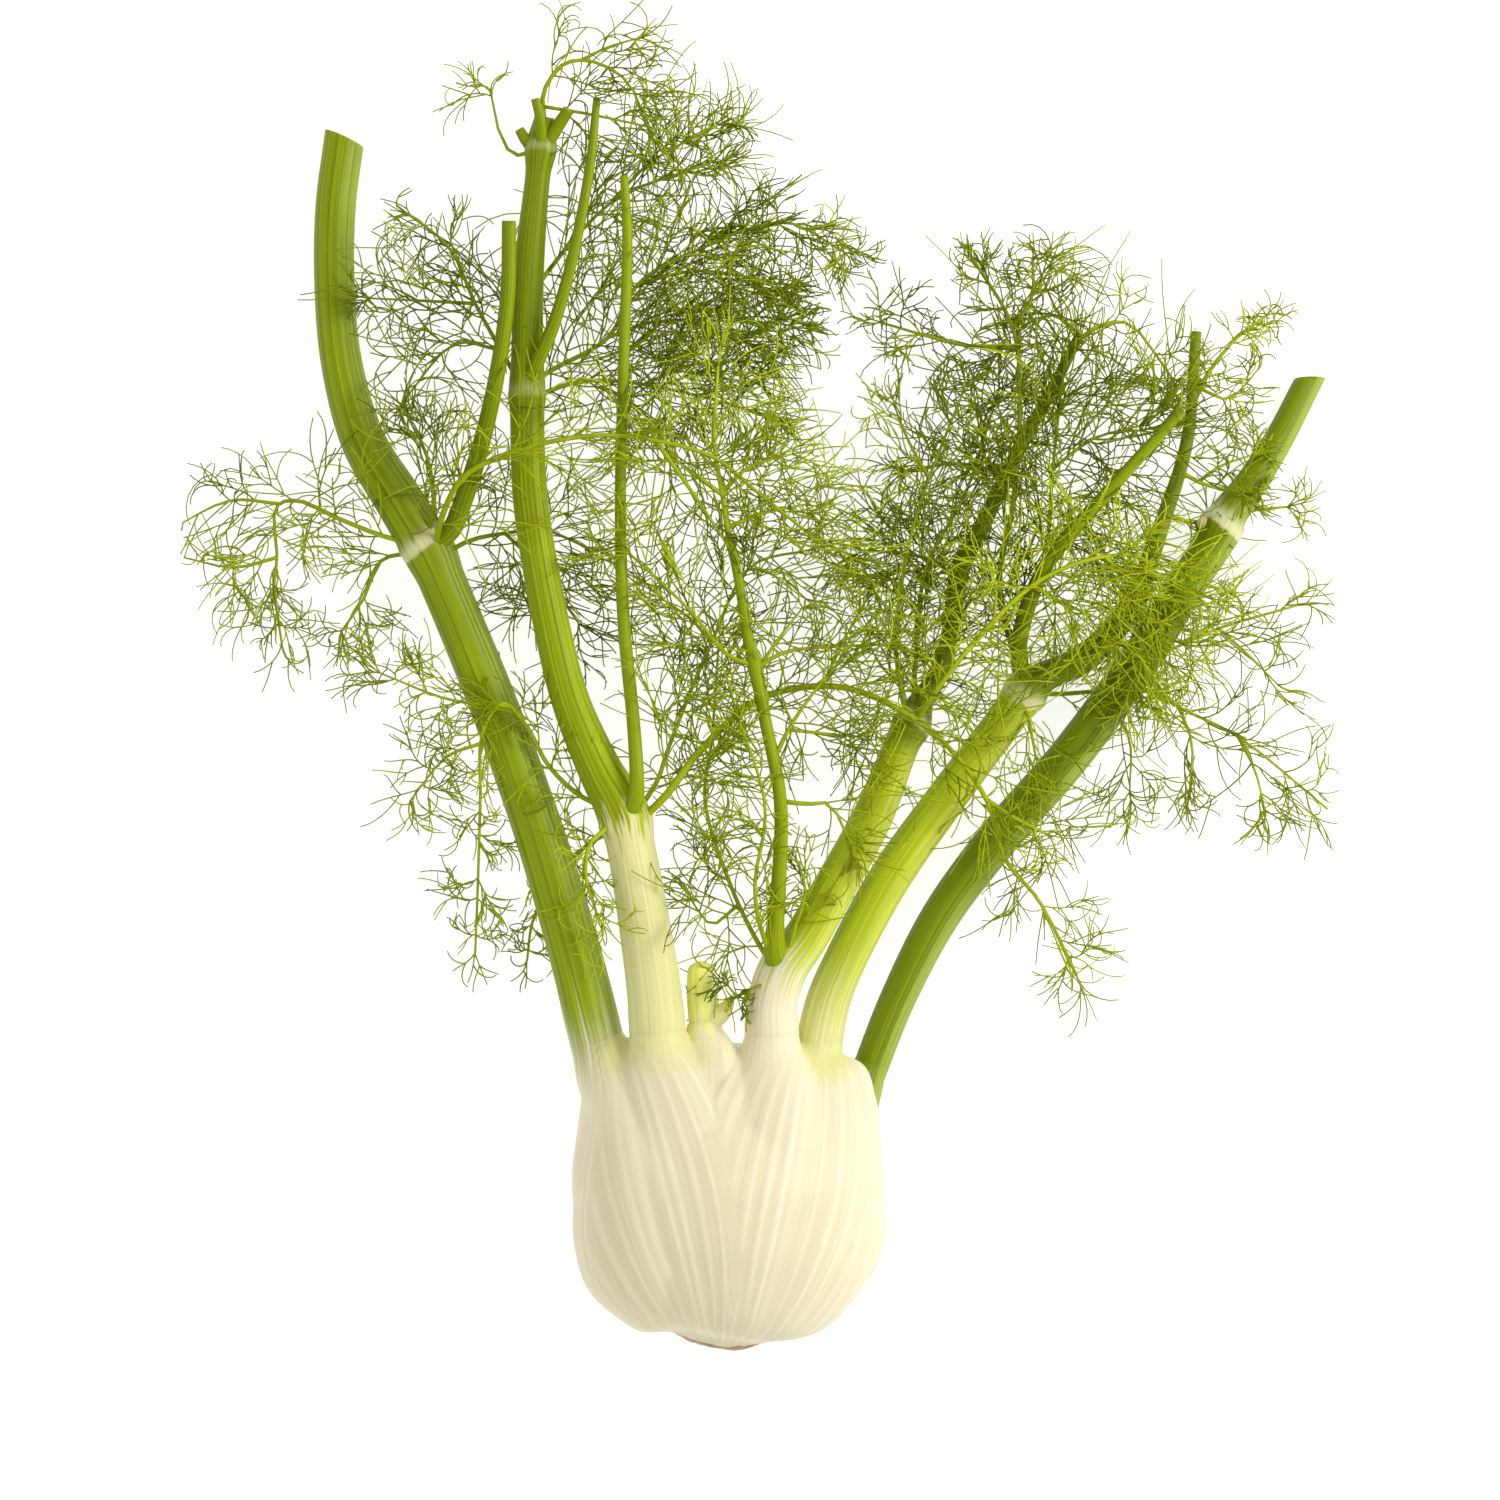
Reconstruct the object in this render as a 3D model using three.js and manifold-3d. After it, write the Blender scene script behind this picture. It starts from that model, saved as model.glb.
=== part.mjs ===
// A whole fennel lying on a flat surface: its bulb, its cut stalks and its feathery fronds.
// Millimetres, +Z up. The origin is the flat spot under the bulb, and +Y runs from it to the stalk tips.
import * as THREE from 'three';
import { mergeVertices } from 'three/addons/utils/BufferGeometryUtils.js';
import Module from 'manifold-3d';

const wasm = await Module();
wasm.setup();

// Driving dimensions
const FIT_GAP = 0.3; // clear space between one piece and the next
const SIDE_GAP = 0.5; // clear space round a stalk, with an allowance for its flat facets
const NEEDLE_GAP = 0.4; // clear space kept round every thread of a frond
const LOWEST_THREAD = 2; // no thread comes lower than this
const THREAD = 0.9; // thickness of a frond's side threads
const STEM_WIDTH = 2.3; // thickness of a frond's stem where it leaves its stalk
const STEM_TIP = 1.4; // thickness of a frond's stem at its tip
const PINNA_GAP = 29; // distance between pairs of side threads along a stem
const PINNA_LENGTH = 20; // length of a side thread low on a stem
const TIP_LENGTH = 14; // length of a side thread near the tip
const LEFT_CUT = { point: [-116.2, 314, 6], direction: [0.5, 1, 0] };
const SURFACE_SIZE = 900; // size of the block that trims the underside flat
const BLOCK = 40; // size of the block that makes a slanted cut
const PARALLEL = 1e-9; // two rods with a smaller spread than this count as parallel
const SLIVER = 0.02; // edges shorter than this are closed up after a join

// Shares of a length or a width
const BARE_SHARE = 0.12; // of a stem, bare at its foot
const FORK_SHARE = 0.3; // of a side thread, where its fork leaves it
const FORK_REACH = 0.6; // of a side thread's length, for its fork
const FORK_WIDTH = 0.6; // of a side thread's thickness, for its fork
const SIDE_STEM_SHARE = 0.5; // of the thinning of a stem, already done where a side stem leaves it
const SHORT_SHARE = 0.7; // of a thread's length, where the whole length has no room
const ROOT_SHARE = 0.2; // of a thread, left out when its clearance is tested
const LENGTH_RANGE = [0.8, 1.2]; // of a side thread's length
const RIB_DEPTH = 0.016; // of the bulb's radius, for the relief of its ribs
const STALK_RIB_DEPTH = 0.03; // of a stalk's radius, for the relief of its ribs

// Directions that a thread tries, from near its stem's own plane to well above or below it
const THREAD_RISES = [0.25, -0.25, 0.7, -0.7, 1.2];
const FORK_RISES = [0.2, -0.3, 0.7];
const RISE_SPREAD = 0.3;
const FORWARD_RANGE = [0.5, 0.9]; // how far a side thread leans along its stem
const FORK_SPREAD_RANGE = [0.5, 0.9]; // how far a fork leans away from its side thread
const FORK_FORWARD = 0.8;

// How finely things are drawn
const STALK_SIDES = 10;
const STEM_SIDES = 4;
const THREAD_SIDES = 3;
const SHEATH_SIDES = 20;
const STALK_EXTRA_STEPS = 2; // steps along a stalk, past one for each of its rows
const STEM_DETAIL = 0.75; // steps along a frond's stem for each of its points
const STALK_RODS = 24;
const STEM_RODS = 12;
const NECK_RODS = 6;
const NECK_ROWS = 4; // rows at the top of a leaf base that threads may come near
const SEED = 828;

const LOOKS = {
  bulb: { color: '#efe8cb', roughness: 0.5, metalness: 0 },
  outerStalk: { color: '#7c9a14', roughness: 0.55, metalness: 0 },
  paleStalk: { color: '#b6c25c', roughness: 0.55, metalness: 0 },
  stub: { color: '#c0c464', roughness: 0.55, metalness: 0 },
  frond: { color: '#6c9416', roughness: 0.6, metalness: 0 },
};

// Each row of a stalk is [x, y, z, thickness]
const LEFT_STALK = [
  [-38.4, 45, 33, 16.2], [-44, 68, 34, 14.7], [-53, 99, 33, 14.1], [-59, 117, 32, 13.8], [-70, 147, 30, 13.5],
  [-85, 183, 27, 13.2], [-88, 190, 27, 14.6], [-92, 197, 27, 14], [-98, 207, 26, 13.6], [-109, 225, 22, 12.6],
  [-116, 249, 16.5, 11.6], [-118.5, 273, 11.5, 11.4], [-118.5, 297, 7.2, 11.4], [-116, 318, 5.5, 11.4],
];
const LEFT_SIDE_STEM = [
  [-89, 193, 29, 6], [-82, 198, 33, 6], [-78, 207, 37, 5.7], [-73, 222, 40, 5.3], [-68, 243, 43, 4.8],
  [-64.5, 267, 46.5, 4.5], [-64, 289, 49, 4.2],
];
const TALL_STALK = [
  [-20, 48, 42, 16.8], [-21, 60, 43, 16.2], [-25, 87, 44.5, 15], [-28, 104, 45, 14.4], [-29.5, 111, 45, 15.8],
  [-32, 117, 45, 15], [-37, 126, 44.5, 13.2], [-46, 147, 43, 11.4], [-53, 176, 41, 10.8],
  [-58, 207, 39.5, 10.5], [-59, 232, 38.5, 10.2], [-59, 240, 38.5, 10.9], [-59, 250, 38, 9.6],
  [-58.5, 276, 37, 9], [-56, 303, 36, 7.5], [-55, 312, 36, 9.2], [-54, 321, 36, 6],
];
const TALL_FRONT_STEM = [
  [-29, 112, 48, 5.4], [-26.5, 117, 52, 5.2], [-26, 124, 54, 4.4], [-27, 140, 52, 4], [-30, 171, 49, 3.8],
  [-31, 207, 46, 3.4], [-30, 249, 45, 3.3], [-29, 285, 44, 3.1], [-30, 303, 43, 2.4],
];
const TALL_TOP_STEM = [
  [-59, 240, 40, 4.8], [-56, 247, 43.5, 4.3], [-51, 258, 46, 3.9], [-45, 279, 47, 3.3], [-40, 306, 46, 2.9],
  [-38, 326, 45, 2.2],
];
const STUB = [[-6, 48, 38, 9], [-6.6, 58, 39, 8.2], [-7, 66, 40, 7.2], [-7, 69, 40, 5.6]];
const STUB_BUD = [[-4.5, 50.5, 40, 5], [-1, 53.5, 41, 5.4], [1.5, 57, 41.5, 3]];
const INNER_STALK = [
  [14, 47, 40, 16.2], [14, 56, 41, 15], [17.5, 67, 42, 14.6], [24, 76, 42, 13.2], [32, 90, 42, 12.6],
  [44, 112, 40, 12], [53, 134, 38, 10.5], [56, 140, 37, 11.4], [59, 147, 36, 7.4], [63, 153, 35, 6],
  [67, 165, 34, 5.4], [71, 188, 33, 6], [76, 197, 33, 5], [88, 222, 33, 4.2], [98, 240, 33, 3.6],
  [106, 256, 33, 2.8],
];
const INNER_UPRIGHT_STEM = [
  [16.5, 66, 43, 7.6], [15, 72, 47, 7], [15, 80, 49.5, 5.4], [16, 93, 51, 4.5], [16.5, 117, 53.5, 4],
  [12, 141, 54, 3.7], [9, 157, 53.5, 4.2], [7, 165, 52, 3.2], [4, 183, 50, 2.8], [1.5, 195, 48, 2.8],
];
const RIGHT_STALK = [
  [28, 44, 32, 13.8], [31, 57, 32, 13.2], [36, 69, 32, 12.6], [49, 93, 31, 12.6], [66, 117, 29, 12],
  [85, 142, 27, 11.4], [91, 150, 26, 13.2], [96, 154, 26.5, 9.4], [105, 158, 27.5, 8.4], [116, 167, 28, 7.8],
  [123, 178, 28, 6.3], [132, 202, 27, 4.8], [139, 225, 25, 3.9], [142, 258, 22, 3.3],
];
const RIGHT_SIDE_STEM = [
  [91, 151, 27, 6], [88.5, 157, 32, 5.5], [88, 165, 37, 5.1], [95, 186, 46, 4.5], [116, 211, 47, 3.9],
  [136, 233, 46, 3],
];
const OUTER_STALK = [
  [44, 37, 24, 10.5], [52, 57, 23.5, 10.8], [65, 82, 22, 11.7], [83, 106, 20, 12.6], [104, 130, 18, 12.6],
  [126, 160, 15.5, 12.3], [141, 184, 13.5, 11.7], [147.5, 194, 12.5, 12.2], [150, 199, 12, 13.5],
  [153, 204, 11.5, 11.4], [159, 212, 10.3, 9.9], [168, 226, 7.4, 8.9], [178, 245, 4, 8.4],
];

// Each row of a leaf base is [x, y, z, width, depth]; it runs from the root end to the neck under its stalk
const SHEATHS = {
  middle: [
    [-4, -46.5, 31.5, 15, 13], [-3.6, -44.5, 31.5, 25, 22], [-3, -41, 31.5, 38, 31],
    [-2.2, -37, 31.8, 57, 43], [-1.4, -33, 32, 68, 51], [-0.4, -27, 32, 78, 58], [1, -15, 31.8, 89, 66],
    [1, 3, 31.8, 93, 68.4], [1.4, 18, 32.4, 90, 58], [2.2, 29, 33.5, 87, 44], [3, 36, 34.3, 82, 32],
    [3.4, 40.5, 35, 76, 21], [3.6, 43, 35.4, 66, 12],
  ],
  left: [
    [-8, -40, 32, 12, 12], [-9.5, -36, 32.4, 28, 28], [-12.5, -30, 32.8, 41, 42], [-16, -20, 33, 54, 54],
    [-19, -2, 33, 54, 58], [-24, 14, 33, 42, 50], [-30.5, 29, 33, 26, 33], [-35.5, 38, 33, 19, 21],
    [-38.3, 44.6, 33, 16.2, 16.2],
  ],
  tall: [
    [-2, -40, 35, 14, 14], [-3, -34, 36.5, 34, 32], [-5, -16, 37, 56, 50], [-8, 4, 38, 56, 49],
    [-13, 20, 39.5, 46, 42], [-17.5, 34, 41.3, 29, 27], [-19.3, 42, 42, 19, 18.5],
    [-20, 47.6, 42, 16.8, 16.8],
  ],
  inner: [
    [-3, -10, 36, 40, 40], [-4, 15, 37, 38, 38], [-4, 30, 38, 28, 29], [-4.5, 39, 38.4, 19, 20],
    [-5.4, 45.5, 38.4, 12.5, 13], [-5.8, 47.4, 38.4, 10.4, 11],
  ],
  centreRight: [
    [3, -40, 35, 14, 14], [6, -34, 36.5, 34, 32], [10, -14, 37, 54, 49], [13, 6, 38, 52, 47],
    [14, 22, 39, 42, 40], [14.4, 34, 39.8, 28, 27], [14, 41.5, 40, 19, 18.5], [14, 46.6, 40, 16.2, 16.2],
  ],
  right: [
    [5, -40, 31, 14, 14], [9, -34, 31.6, 36, 34], [15, -16, 32, 58, 54], [18, 4, 32, 56, 54],
    [22, 20, 32, 42, 44], [25.5, 33, 32, 26, 28], [27.6, 41, 32, 15.5, 16], [28.2, 43.6, 32, 13.8, 13.8],
  ],
  outer: [
    [8, -37, 28, 14, 14], [13, -31, 28, 36, 32], [20, -14, 28, 54, 50], [24, 2, 27.5, 50, 46],
    [30, 14, 26, 36, 36], [37, 26, 24.8, 20, 22], [42, 33.6, 24.2, 12.4, 13], [43.8, 36.6, 24, 10.5, 10.5],
  ],
};

// Each stem of a frond is a list of [x, y, z] points: the first leaves the stalk, the others leave the first
const FRONDS = {
  left_long: [
    [[-93, 194, 29], [-102, 196, 30], [-115, 201, 31], [-129, 207, 28], [-135, 205, 26], [-135, 190, 23],
      [-136, 181, 21], [-134, 164, 17]],
    [[-134, 206, 26.5], [-149, 207, 25], [-168, 198, 23]],
    [[-135, 190, 23], [-148, 187, 21.5], [-163, 190, 20]],
  ],
  left_drop: [[[-90, 190, 23], [-98, 191, 20], [-104, 189, 20], [-109, 178, 18.5], [-116, 168, 16]]],
  left_up: [[[-89, 195, 31], [-87, 207, 37.5], [-89, 220, 38.5], [-96, 234, 39]]],
  arch: [
    [[-87, 193, 31], [-83, 204, 46], [-77, 213, 53], [-63, 220, 55], [-35, 225, 55.5], [-4, 219, 52],
      [9, 209, 50], [29, 193, 47]],
    [[-20, 223, 54], [-8, 206, 51.5], [2, 191, 49]],
  ],
  inner_left: [
    [[-86, 190, 29], [-76, 195, 30.5], [-66, 197, 30], [-54, 198, 29], [-42, 193, 28]],
    [[-66, 197, 30], [-57, 188, 28], [-44, 170, 26]],
  ],
  crown_left: [
    [[-60, 239, 37], [-65, 248, 34], [-75, 266, 29], [-83, 283, 26], [-99, 296, 24]],
    [[-75, 266, 29], [-90, 267, 26.5], [-107, 268, 24]],
    [[-68, 252, 32], [-81, 254, 28.5], [-97, 237, 24]],
  ],
  top: [
    [[-54, 320, 37], [-54, 328, 41], [-48, 336, 44], [-40, 337, 44], [-29, 331, 43], [-22, 315, 40]],
    [[-43, 337, 44], [-35, 341, 44], [-25, 344, 44]],
    [[-54, 324, 39], [-38, 321, 41.5], [-11, 315, 41]],
  ],
  top_left: [[[-56, 313, 35], [-61, 310, 33], [-66, 313, 32], [-70, 328, 31]]],
  tall_high: [
    [[-58, 268, 36], [-52, 277, 30], [-44, 287, 28], [-32, 298, 26.5], [-4, 309, 24]],
    [[-34, 297, 27], [-22, 309, 26], [-2, 320, 26]],
  ],
  tall_long: [
    [[-58, 242, 36], [-50, 247, 30.5], [-35, 256, 28], [-26, 272, 29], [-8, 282, 31], [18, 290, 33],
      [36, 281, 32]],
    [[-35, 256, 28], [-20, 261, 25.5], [20, 260, 23]],
    [[-26, 272, 29], [-8, 276, 27], [18, 272, 25]],
  ],
  tall_low: [
    [[-58, 237, 36], [-46, 242, 29.5], [-34, 243, 27], [-10, 239, 26], [12, 233, 24]],
    [[-24, 242, 26.5], [-10, 248, 24], [4, 249, 23]],
  ],
  low_left: [
    [[-34, 114, 44], [-44, 119, 42.5], [-53, 128, 41], [-59, 139, 41], [-66, 146, 42], [-72, 138, 42],
      [-73, 117, 38], [-74, 92, 33], [-75, 71, 29]],
    [[-72.5, 134, 41.5], [-83, 130, 39], [-94, 117, 35]],
    [[-64, 145, 42], [-82, 147, 41], [-103, 155, 39]],
  ],
  low_front: [[[-32, 111, 48], [-40, 104, 54], [-41, 94, 53], [-38, 84, 52]]],
  low_behind: [[[-33, 108, 40], [-42, 103, 25], [-50, 94, 17], [-58, 81, 16], [-60, 68, 15]]],
  middle_rise: [
    [[-25, 115, 45], [-20, 123, 44.5], [-17, 132, 43], [-4, 164, 39], [8, 187, 36], [26, 192, 34]],
    [[-4, 164, 39], [-10, 171, 37], [-20, 178, 36]],
  ],
  middle_arch: [
    [[-24, 112, 47], [-17, 119, 50], [-8, 131, 48], [10, 147, 43], [28, 151, 46], [41, 149, 50],
      [58, 140, 51], [68, 131, 48], [78, 117, 43], [84, 99, 36], [94, 87, 31], [106, 64, 21]],
    [[78, 117, 43], [86, 112, 38], [96, 107, 33]],
  ],
  inner_left_thin: [
    [[15, 66, 42], [8, 78, 42], [2, 91, 40], [-6, 117, 38], [-4, 134, 37], [-2, 162, 36]],
    [[4, 86, 41], [-4, 80, 38], [-10, 87, 36]],
  ],
  inner_front_thin: [[[14, 70, 47], [10, 82, 54], [9, 93, 57], [12, 115, 58], [4, 142, 56]]],
  inner_short: [[[18, 68, 46], [21, 80, 50], [24, 90, 50], [22, 98, 50]]],
  inner_curl: [[[15, 62, 44], [9, 62, 48], [5, 58, 48], [1, 62, 48]]],
  upright_left: [[[9, 157, 54], [1, 160, 55], [-10, 173, 54.5], [-28, 190, 51]]],
  upright_right: [
    [[9, 156, 54], [18, 161, 54], [40, 163, 52]],
    [[11, 157.5, 54], [16, 165, 54], [23, 174, 54]],
  ],
  upright_top: [
    [[1.5, 193, 48], [-0.5, 207, 48], [-3, 222, 47], [-2, 246, 46]],
    [[-1, 208, 48], [7, 216, 46], [20, 220, 45]],
    [[-1, 208, 48], [-9, 214, 47], [-18, 221, 46]],
    [[1, 198, 48], [10, 202, 46], [24, 205, 45]],
  ],
  upright_side: [
    [[14, 128, 54], [20, 140, 56], [30, 154, 56]],
    [[19, 138, 55.7], [28, 137, 55], [39, 136, 55]],
  ],
  upright_low: [[[16, 117, 53.5], [24, 116, 54], [31, 116, 53], [36, 107, 52]]],
  inner_high_left: [
    [[55, 138, 39], [52, 153, 41.5], [51, 166, 41], [56, 198, 39], [64, 221, 38], [72, 241, 37]],
    [[61, 213, 38.3], [55, 224, 37], [51, 234, 36]],
  ],
  inner_high_right: [[[56, 141, 38], [57, 160, 41.5], [60, 186, 38.5], [72, 209, 36], [82, 240, 33]]],
  inner_plume: [
    [[56, 139, 40], [63, 150, 46.5], [75, 165, 49], [93, 182, 49], [111, 189, 51.5], [126, 188, 42],
      [134, 165, 29]],
    [[113, 189, 51], [124, 178, 38], [124, 150, 29]],
    [[91, 181, 49], [100, 176, 44], [112, 171, 41]],
  ],
  inner_mid: [
    [[70, 182, 33], [62, 189, 31], [44, 192, 27]],
  ],
  inner_upper: [
    [[84, 214, 33], [70, 218, 30], [56, 216, 28]],
  ],
  inner_tip: [
    [[105, 254, 33], [112, 259, 31], [121, 260, 30], [134, 244, 29]],
    [[106.5, 256, 33], [100, 263, 31], [95, 274, 30]],
  ],
  right_high: [
    [[90, 150, 29], [86, 163, 33], [82, 183, 37], [86, 205, 38.5], [88, 234, 39], [86, 258, 38],
      [74, 279, 36]],
    [[87, 252, 38.4], [72, 253, 35], [47, 260, 32]],
    [[86, 258, 38], [92, 268, 35], [92, 279, 34]],
  ],
  right_inner: [
    [[94, 185, 44.5], [96.5, 196, 38], [98, 216, 37], [101, 244, 36.5]],
    [[98, 216, 37], [110, 225, 35], [124, 229, 34]],
  ],
  right_low: [[[89, 148, 26], [91, 141, 33.5], [93, 130, 34.5]]],
  fork_behind: [
    [[112, 163, 26], [118, 162, 14], [128, 160, 7], [150, 169, 5.8], [174, 176, 8]],
    [[150, 169, 5.8], [158, 162, 6], [168, 152, 6]],
  ],
  joint_behind: [
    [[92, 149, 23], [102, 149, 13.5], [116, 150, 7], [128, 150, 5.3], [140, 144, 5.5], [156, 136, 7],
      [183, 114, 9]],
    [[138, 145, 5.5], [142, 134, 6], [141, 119, 7]],
    [[116, 150, 7], [123, 135, 6], [123, 119, 6]],
    [[156, 136, 7], [161, 126, 7], [164, 114, 7]],
  ],
  fork_low: [[[132, 203, 26], [142, 201, 13], [152, 203, 4.2], [161, 205, 4], [171, 206, 6]]],
  fork_high: [
    [[140, 232, 24], [144, 243, 23], [154, 256, 21], [163, 263, 20]],
    [[143, 241, 23.2], [152, 238, 20], [161, 247, 18]],
  ],
  fork_side: [
    [[136.5, 216, 26], [145, 212, 20], [157, 210, 17]],
    [[143, 213, 21], [150, 218, 19], [159, 221, 17]],
  ],
};

// A seeded random source, so that every build is the same
function seededRandom(seed) {
  let state = seed;
  return () => {
    state = (state * 1664525 + 1013904223) % 4294967296;
    return state / 4294967296;
  };
}

const vector = (point) => new THREE.Vector3(point[0], point[1], point[2]);

// A value between the two ends of a range
const within = (range, share) => THREE.MathUtils.lerp(range[0], range[1], share);

// A closed tube along a route of [x, y, z, width, depth] rows, with ribs where ribDepth is above 0.
// Its sides are split evenly, and its ends are flat, or run to a point where pointed is true.
function tube(route, sides, steps, ribDepth = 0, pointed = false) {
  const path = new THREE.CatmullRomCurve3(route.map(vector), false, 'centripetal');
  const sizes = new THREE.CatmullRomCurve3(
    route.map((row) => new THREE.Vector3(row[3] / 2, (row[4] ?? row[3]) / 2, 0)), false, 'catmullrom');
  const positions = [];
  const rings = pointed ? steps : steps + 1;
  const upward = new THREE.Vector3(0, 0, 1);
  const side = new THREE.Vector3();
  const top = new THREE.Vector3();
  for (let ring = 0; ring < rings; ring += 1) {
    const along = ring / steps;
    const centre = path.getPoint(along);
    const forward = path.getTangent(along);
    const size = sizes.getPoint(along);
    side.crossVectors(forward, upward).normalize();
    top.crossVectors(side, forward);
    for (let corner = 0; corner < sides; corner += 1) {
      const angle = (2 * Math.PI * (corner + 0.5)) / sides;
      const swell = 1 + ribDepth * (corner % 2 === 0 ? 1 : -1);
      const point = centre.clone();
      point.addScaledVector(side, Math.cos(angle) * size.x * swell);
      point.addScaledVector(top, Math.sin(angle) * size.y * swell);
      positions.push(point.x, point.y, point.z);
    }
  }
  const last = (rings - 1) * sides;
  const tip = rings * sides;
  const indices = [];
  for (let corner = 0; corner < sides; corner += 1) {
    const next = (corner + 1) % sides;
    for (let ring = 0; ring + 1 < rings; ring += 1) {
      const low = ring * sides;
      const high = low + sides;
      indices.push(low + corner, high + corner, high + next, low + corner, high + next, low + next);
    }
    if (pointed) {
      indices.push(last + corner, tip, last + next);
    }
  }
  for (let corner = 1; corner + 1 < sides; corner += 1) {
    indices.push(0, corner, corner + 1);
    if (!pointed) {
      indices.push(last, last + corner + 1, last + corner);
    }
  }
  if (pointed) {
    const end = path.getPoint(1);
    positions.push(end.x, end.y, end.z);
  }
  const geometry = new THREE.BufferGeometry();
  geometry.setAttribute('position', new THREE.Float32BufferAttribute(positions, 3));
  geometry.setIndex(indices);
  return geometry;
}

function toSolid(geometry) {
  const bare = geometry.clone();
  bare.deleteAttribute('normal');
  bare.deleteAttribute('uv');
  const merged = mergeVertices(bare);
  return new wasm.Manifold(new wasm.Mesh({
    numProp: 3,
    vertProperties: new Float32Array(merged.attributes.position.array),
    triVerts: new Uint32Array(merged.index.array),
  }));
}

function toGeometry(solid) {
  const mesh = solid.getMesh();
  const geometry = new THREE.BufferGeometry();
  geometry.setAttribute('position', new THREE.BufferAttribute(mesh.vertProperties, 3));
  geometry.setIndex(new THREE.BufferAttribute(mesh.triVerts, 1));
  return geometry;
}

function joined(geometries) {
  return geometries.map(toSolid).reduce((whole, piece) => whole.add(piece)).simplify(SLIVER);
}

// The largest body of a solid: a thread that ends up loose is dropped
function largestBody(solid) {
  const bodies = solid.decompose();
  return bodies.reduce((best, body) => (body.volume() > best.volume() ? body : best));
}

// Trims everything below the surface that the fennel lies on, which leaves small flat spots
function trimmedFlat(solid) {
  const block = new THREE.BoxGeometry(SURFACE_SIZE, SURFACE_SIZE, SURFACE_SIZE);
  block.translate(0, 0, -SURFACE_SIZE / 2);
  return solid.subtract(toSolid(block));
}

// Cuts a stalk across at a point, with the cut facing along a direction
function cutAcross(solid, point, direction) {
  const block = new THREE.BoxGeometry(BLOCK, BLOCK, BLOCK);
  block.translate(0, 0, BLOCK / 2);
  const turn = new THREE.Quaternion();
  turn.setFromUnitVectors(new THREE.Vector3(0, 0, 1), vector(direction).normalize());
  block.applyQuaternion(turn);
  block.translate(point[0], point[1], point[2]);
  return solid.subtract(toSolid(block));
}

const fennel = new THREE.Group();

function addPiece(name, solid, look) {
  const mesh = new THREE.Mesh(toGeometry(solid), new THREE.MeshStandardMaterial(look));
  mesh.name = name;
  fennel.add(mesh);
}

// Straight rods that stand for what is already placed, used to keep threads clear of other pieces
const rods = [];

function addRods(owner, points, widths) {
  for (let index = 0; index + 1 < points.length; index += 1) {
    const radius = Math.max(widths[index], widths[index + 1]) / 2;
    rods.push({ owner, start: points[index], end: points[index + 1], radius });
  }
}

function rodDistance(first, second) {
  const along = first.end.clone().sub(first.start);
  const across = second.end.clone().sub(second.start);
  const between = first.start.clone().sub(second.start);
  const a = along.dot(along);
  const e = across.dot(across);
  const f = across.dot(between);
  const c = along.dot(between);
  const b = along.dot(across);
  const spread = a * e - b * b;
  let s = spread > PARALLEL ? THREE.MathUtils.clamp((b * f - c * e) / spread, 0, 1) : 0;
  let t = (b * s + f) / e;
  if (t < 0 || t > 1) {
    t = THREE.MathUtils.clamp(t, 0, 1);
    s = THREE.MathUtils.clamp((b * t - c) / a, 0, 1);
  }
  const near = first.start.clone().addScaledVector(along, s);
  const far = second.start.clone().addScaledVector(across, t);
  return near.distanceTo(far);
}

// True where a bent thread keeps its distance from every piece but its own and stays above the surface
function isClear(owner, points, width) {
  const lowest = Math.min(...points.map((point) => point.z));
  if (lowest < LOWEST_THREAD) {
    return false;
  }
  for (let index = 0; index + 1 < points.length; index += 1) {
    const rod = { start: points[index], end: points[index + 1], radius: width / 2 };
    for (const other of rods) {
      if (other.owner !== owner && rodDistance(rod, other) < rod.radius + other.radius + NEEDLE_GAP) {
        return false;
      }
    }
  }
  return true;
}

// Samples of a route as points and widths, for its rods
function sampled(route, count) {
  const path = new THREE.CatmullRomCurve3(route.map(vector), false, 'centripetal');
  const widths = new THREE.CatmullRomCurve3(
    route.map((row) => new THREE.Vector3(row[3], 0, 0)), false, 'catmullrom');
  const points = [];
  const sizes = [];
  for (let index = 0; index <= count; index += 1) {
    points.push(path.getPoint(index / count));
    sizes.push(widths.getPoint(index / count).x);
  }
  return { points, sizes };
}

// A route made wider all round by the gap between pieces, and longer at its start
function grownRoute(route) {
  const first = vector(route[0]);
  const back = first.clone().sub(vector(route[1])).setLength(FIT_GAP);
  const wider = route.map((row) => [row[0], row[1], row[2], row[3] + 2 * SIDE_GAP]);
  return [[first.x + back.x, first.y + back.y, first.z + back.z, route[0][3] + 2 * SIDE_GAP], ...wider];
}

// The space that each placed stalk needs, gap included
const taken = [];

function addStalk(name, routes, look, finish = (solid) => solid) {
  const steps = (route) => route.length + STALK_EXTRA_STEPS;
  const tubes = routes.map((route) => tube(route, STALK_SIDES, steps(route), STALK_RIB_DEPTH));
  const grown = routes.map(grownRoute).map((route) => tube(route, STALK_SIDES, steps(route)));
  for (const route of routes) {
    const { points, sizes } = sampled(route, STALK_RODS);
    addRods(name, points, sizes);
  }
  const solid = taken.reduce((rest, space) => rest.subtract(space), joined(tubes));
  taken.push(joined(grown));
  addPiece(name, finish(largestBody(solid)), look);
}

function addBulb() {
  const sheaths = Object.values(SHEATHS).map((rows) => tube(rows, SHEATH_SIDES, rows.length - 1, RIB_DEPTH));
  for (const rows of Object.values(SHEATHS)) {
    const { points, sizes } = sampled(rows.slice(-NECK_ROWS), NECK_RODS);
    addRods('bulb', points, sizes);
  }
  const solid = taken.reduce((rest, space) => rest.subtract(space), joined(sheaths));
  addPiece('bulb', trimmedFlat(largestBody(solid)), LOOKS.bulb);
}

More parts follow.
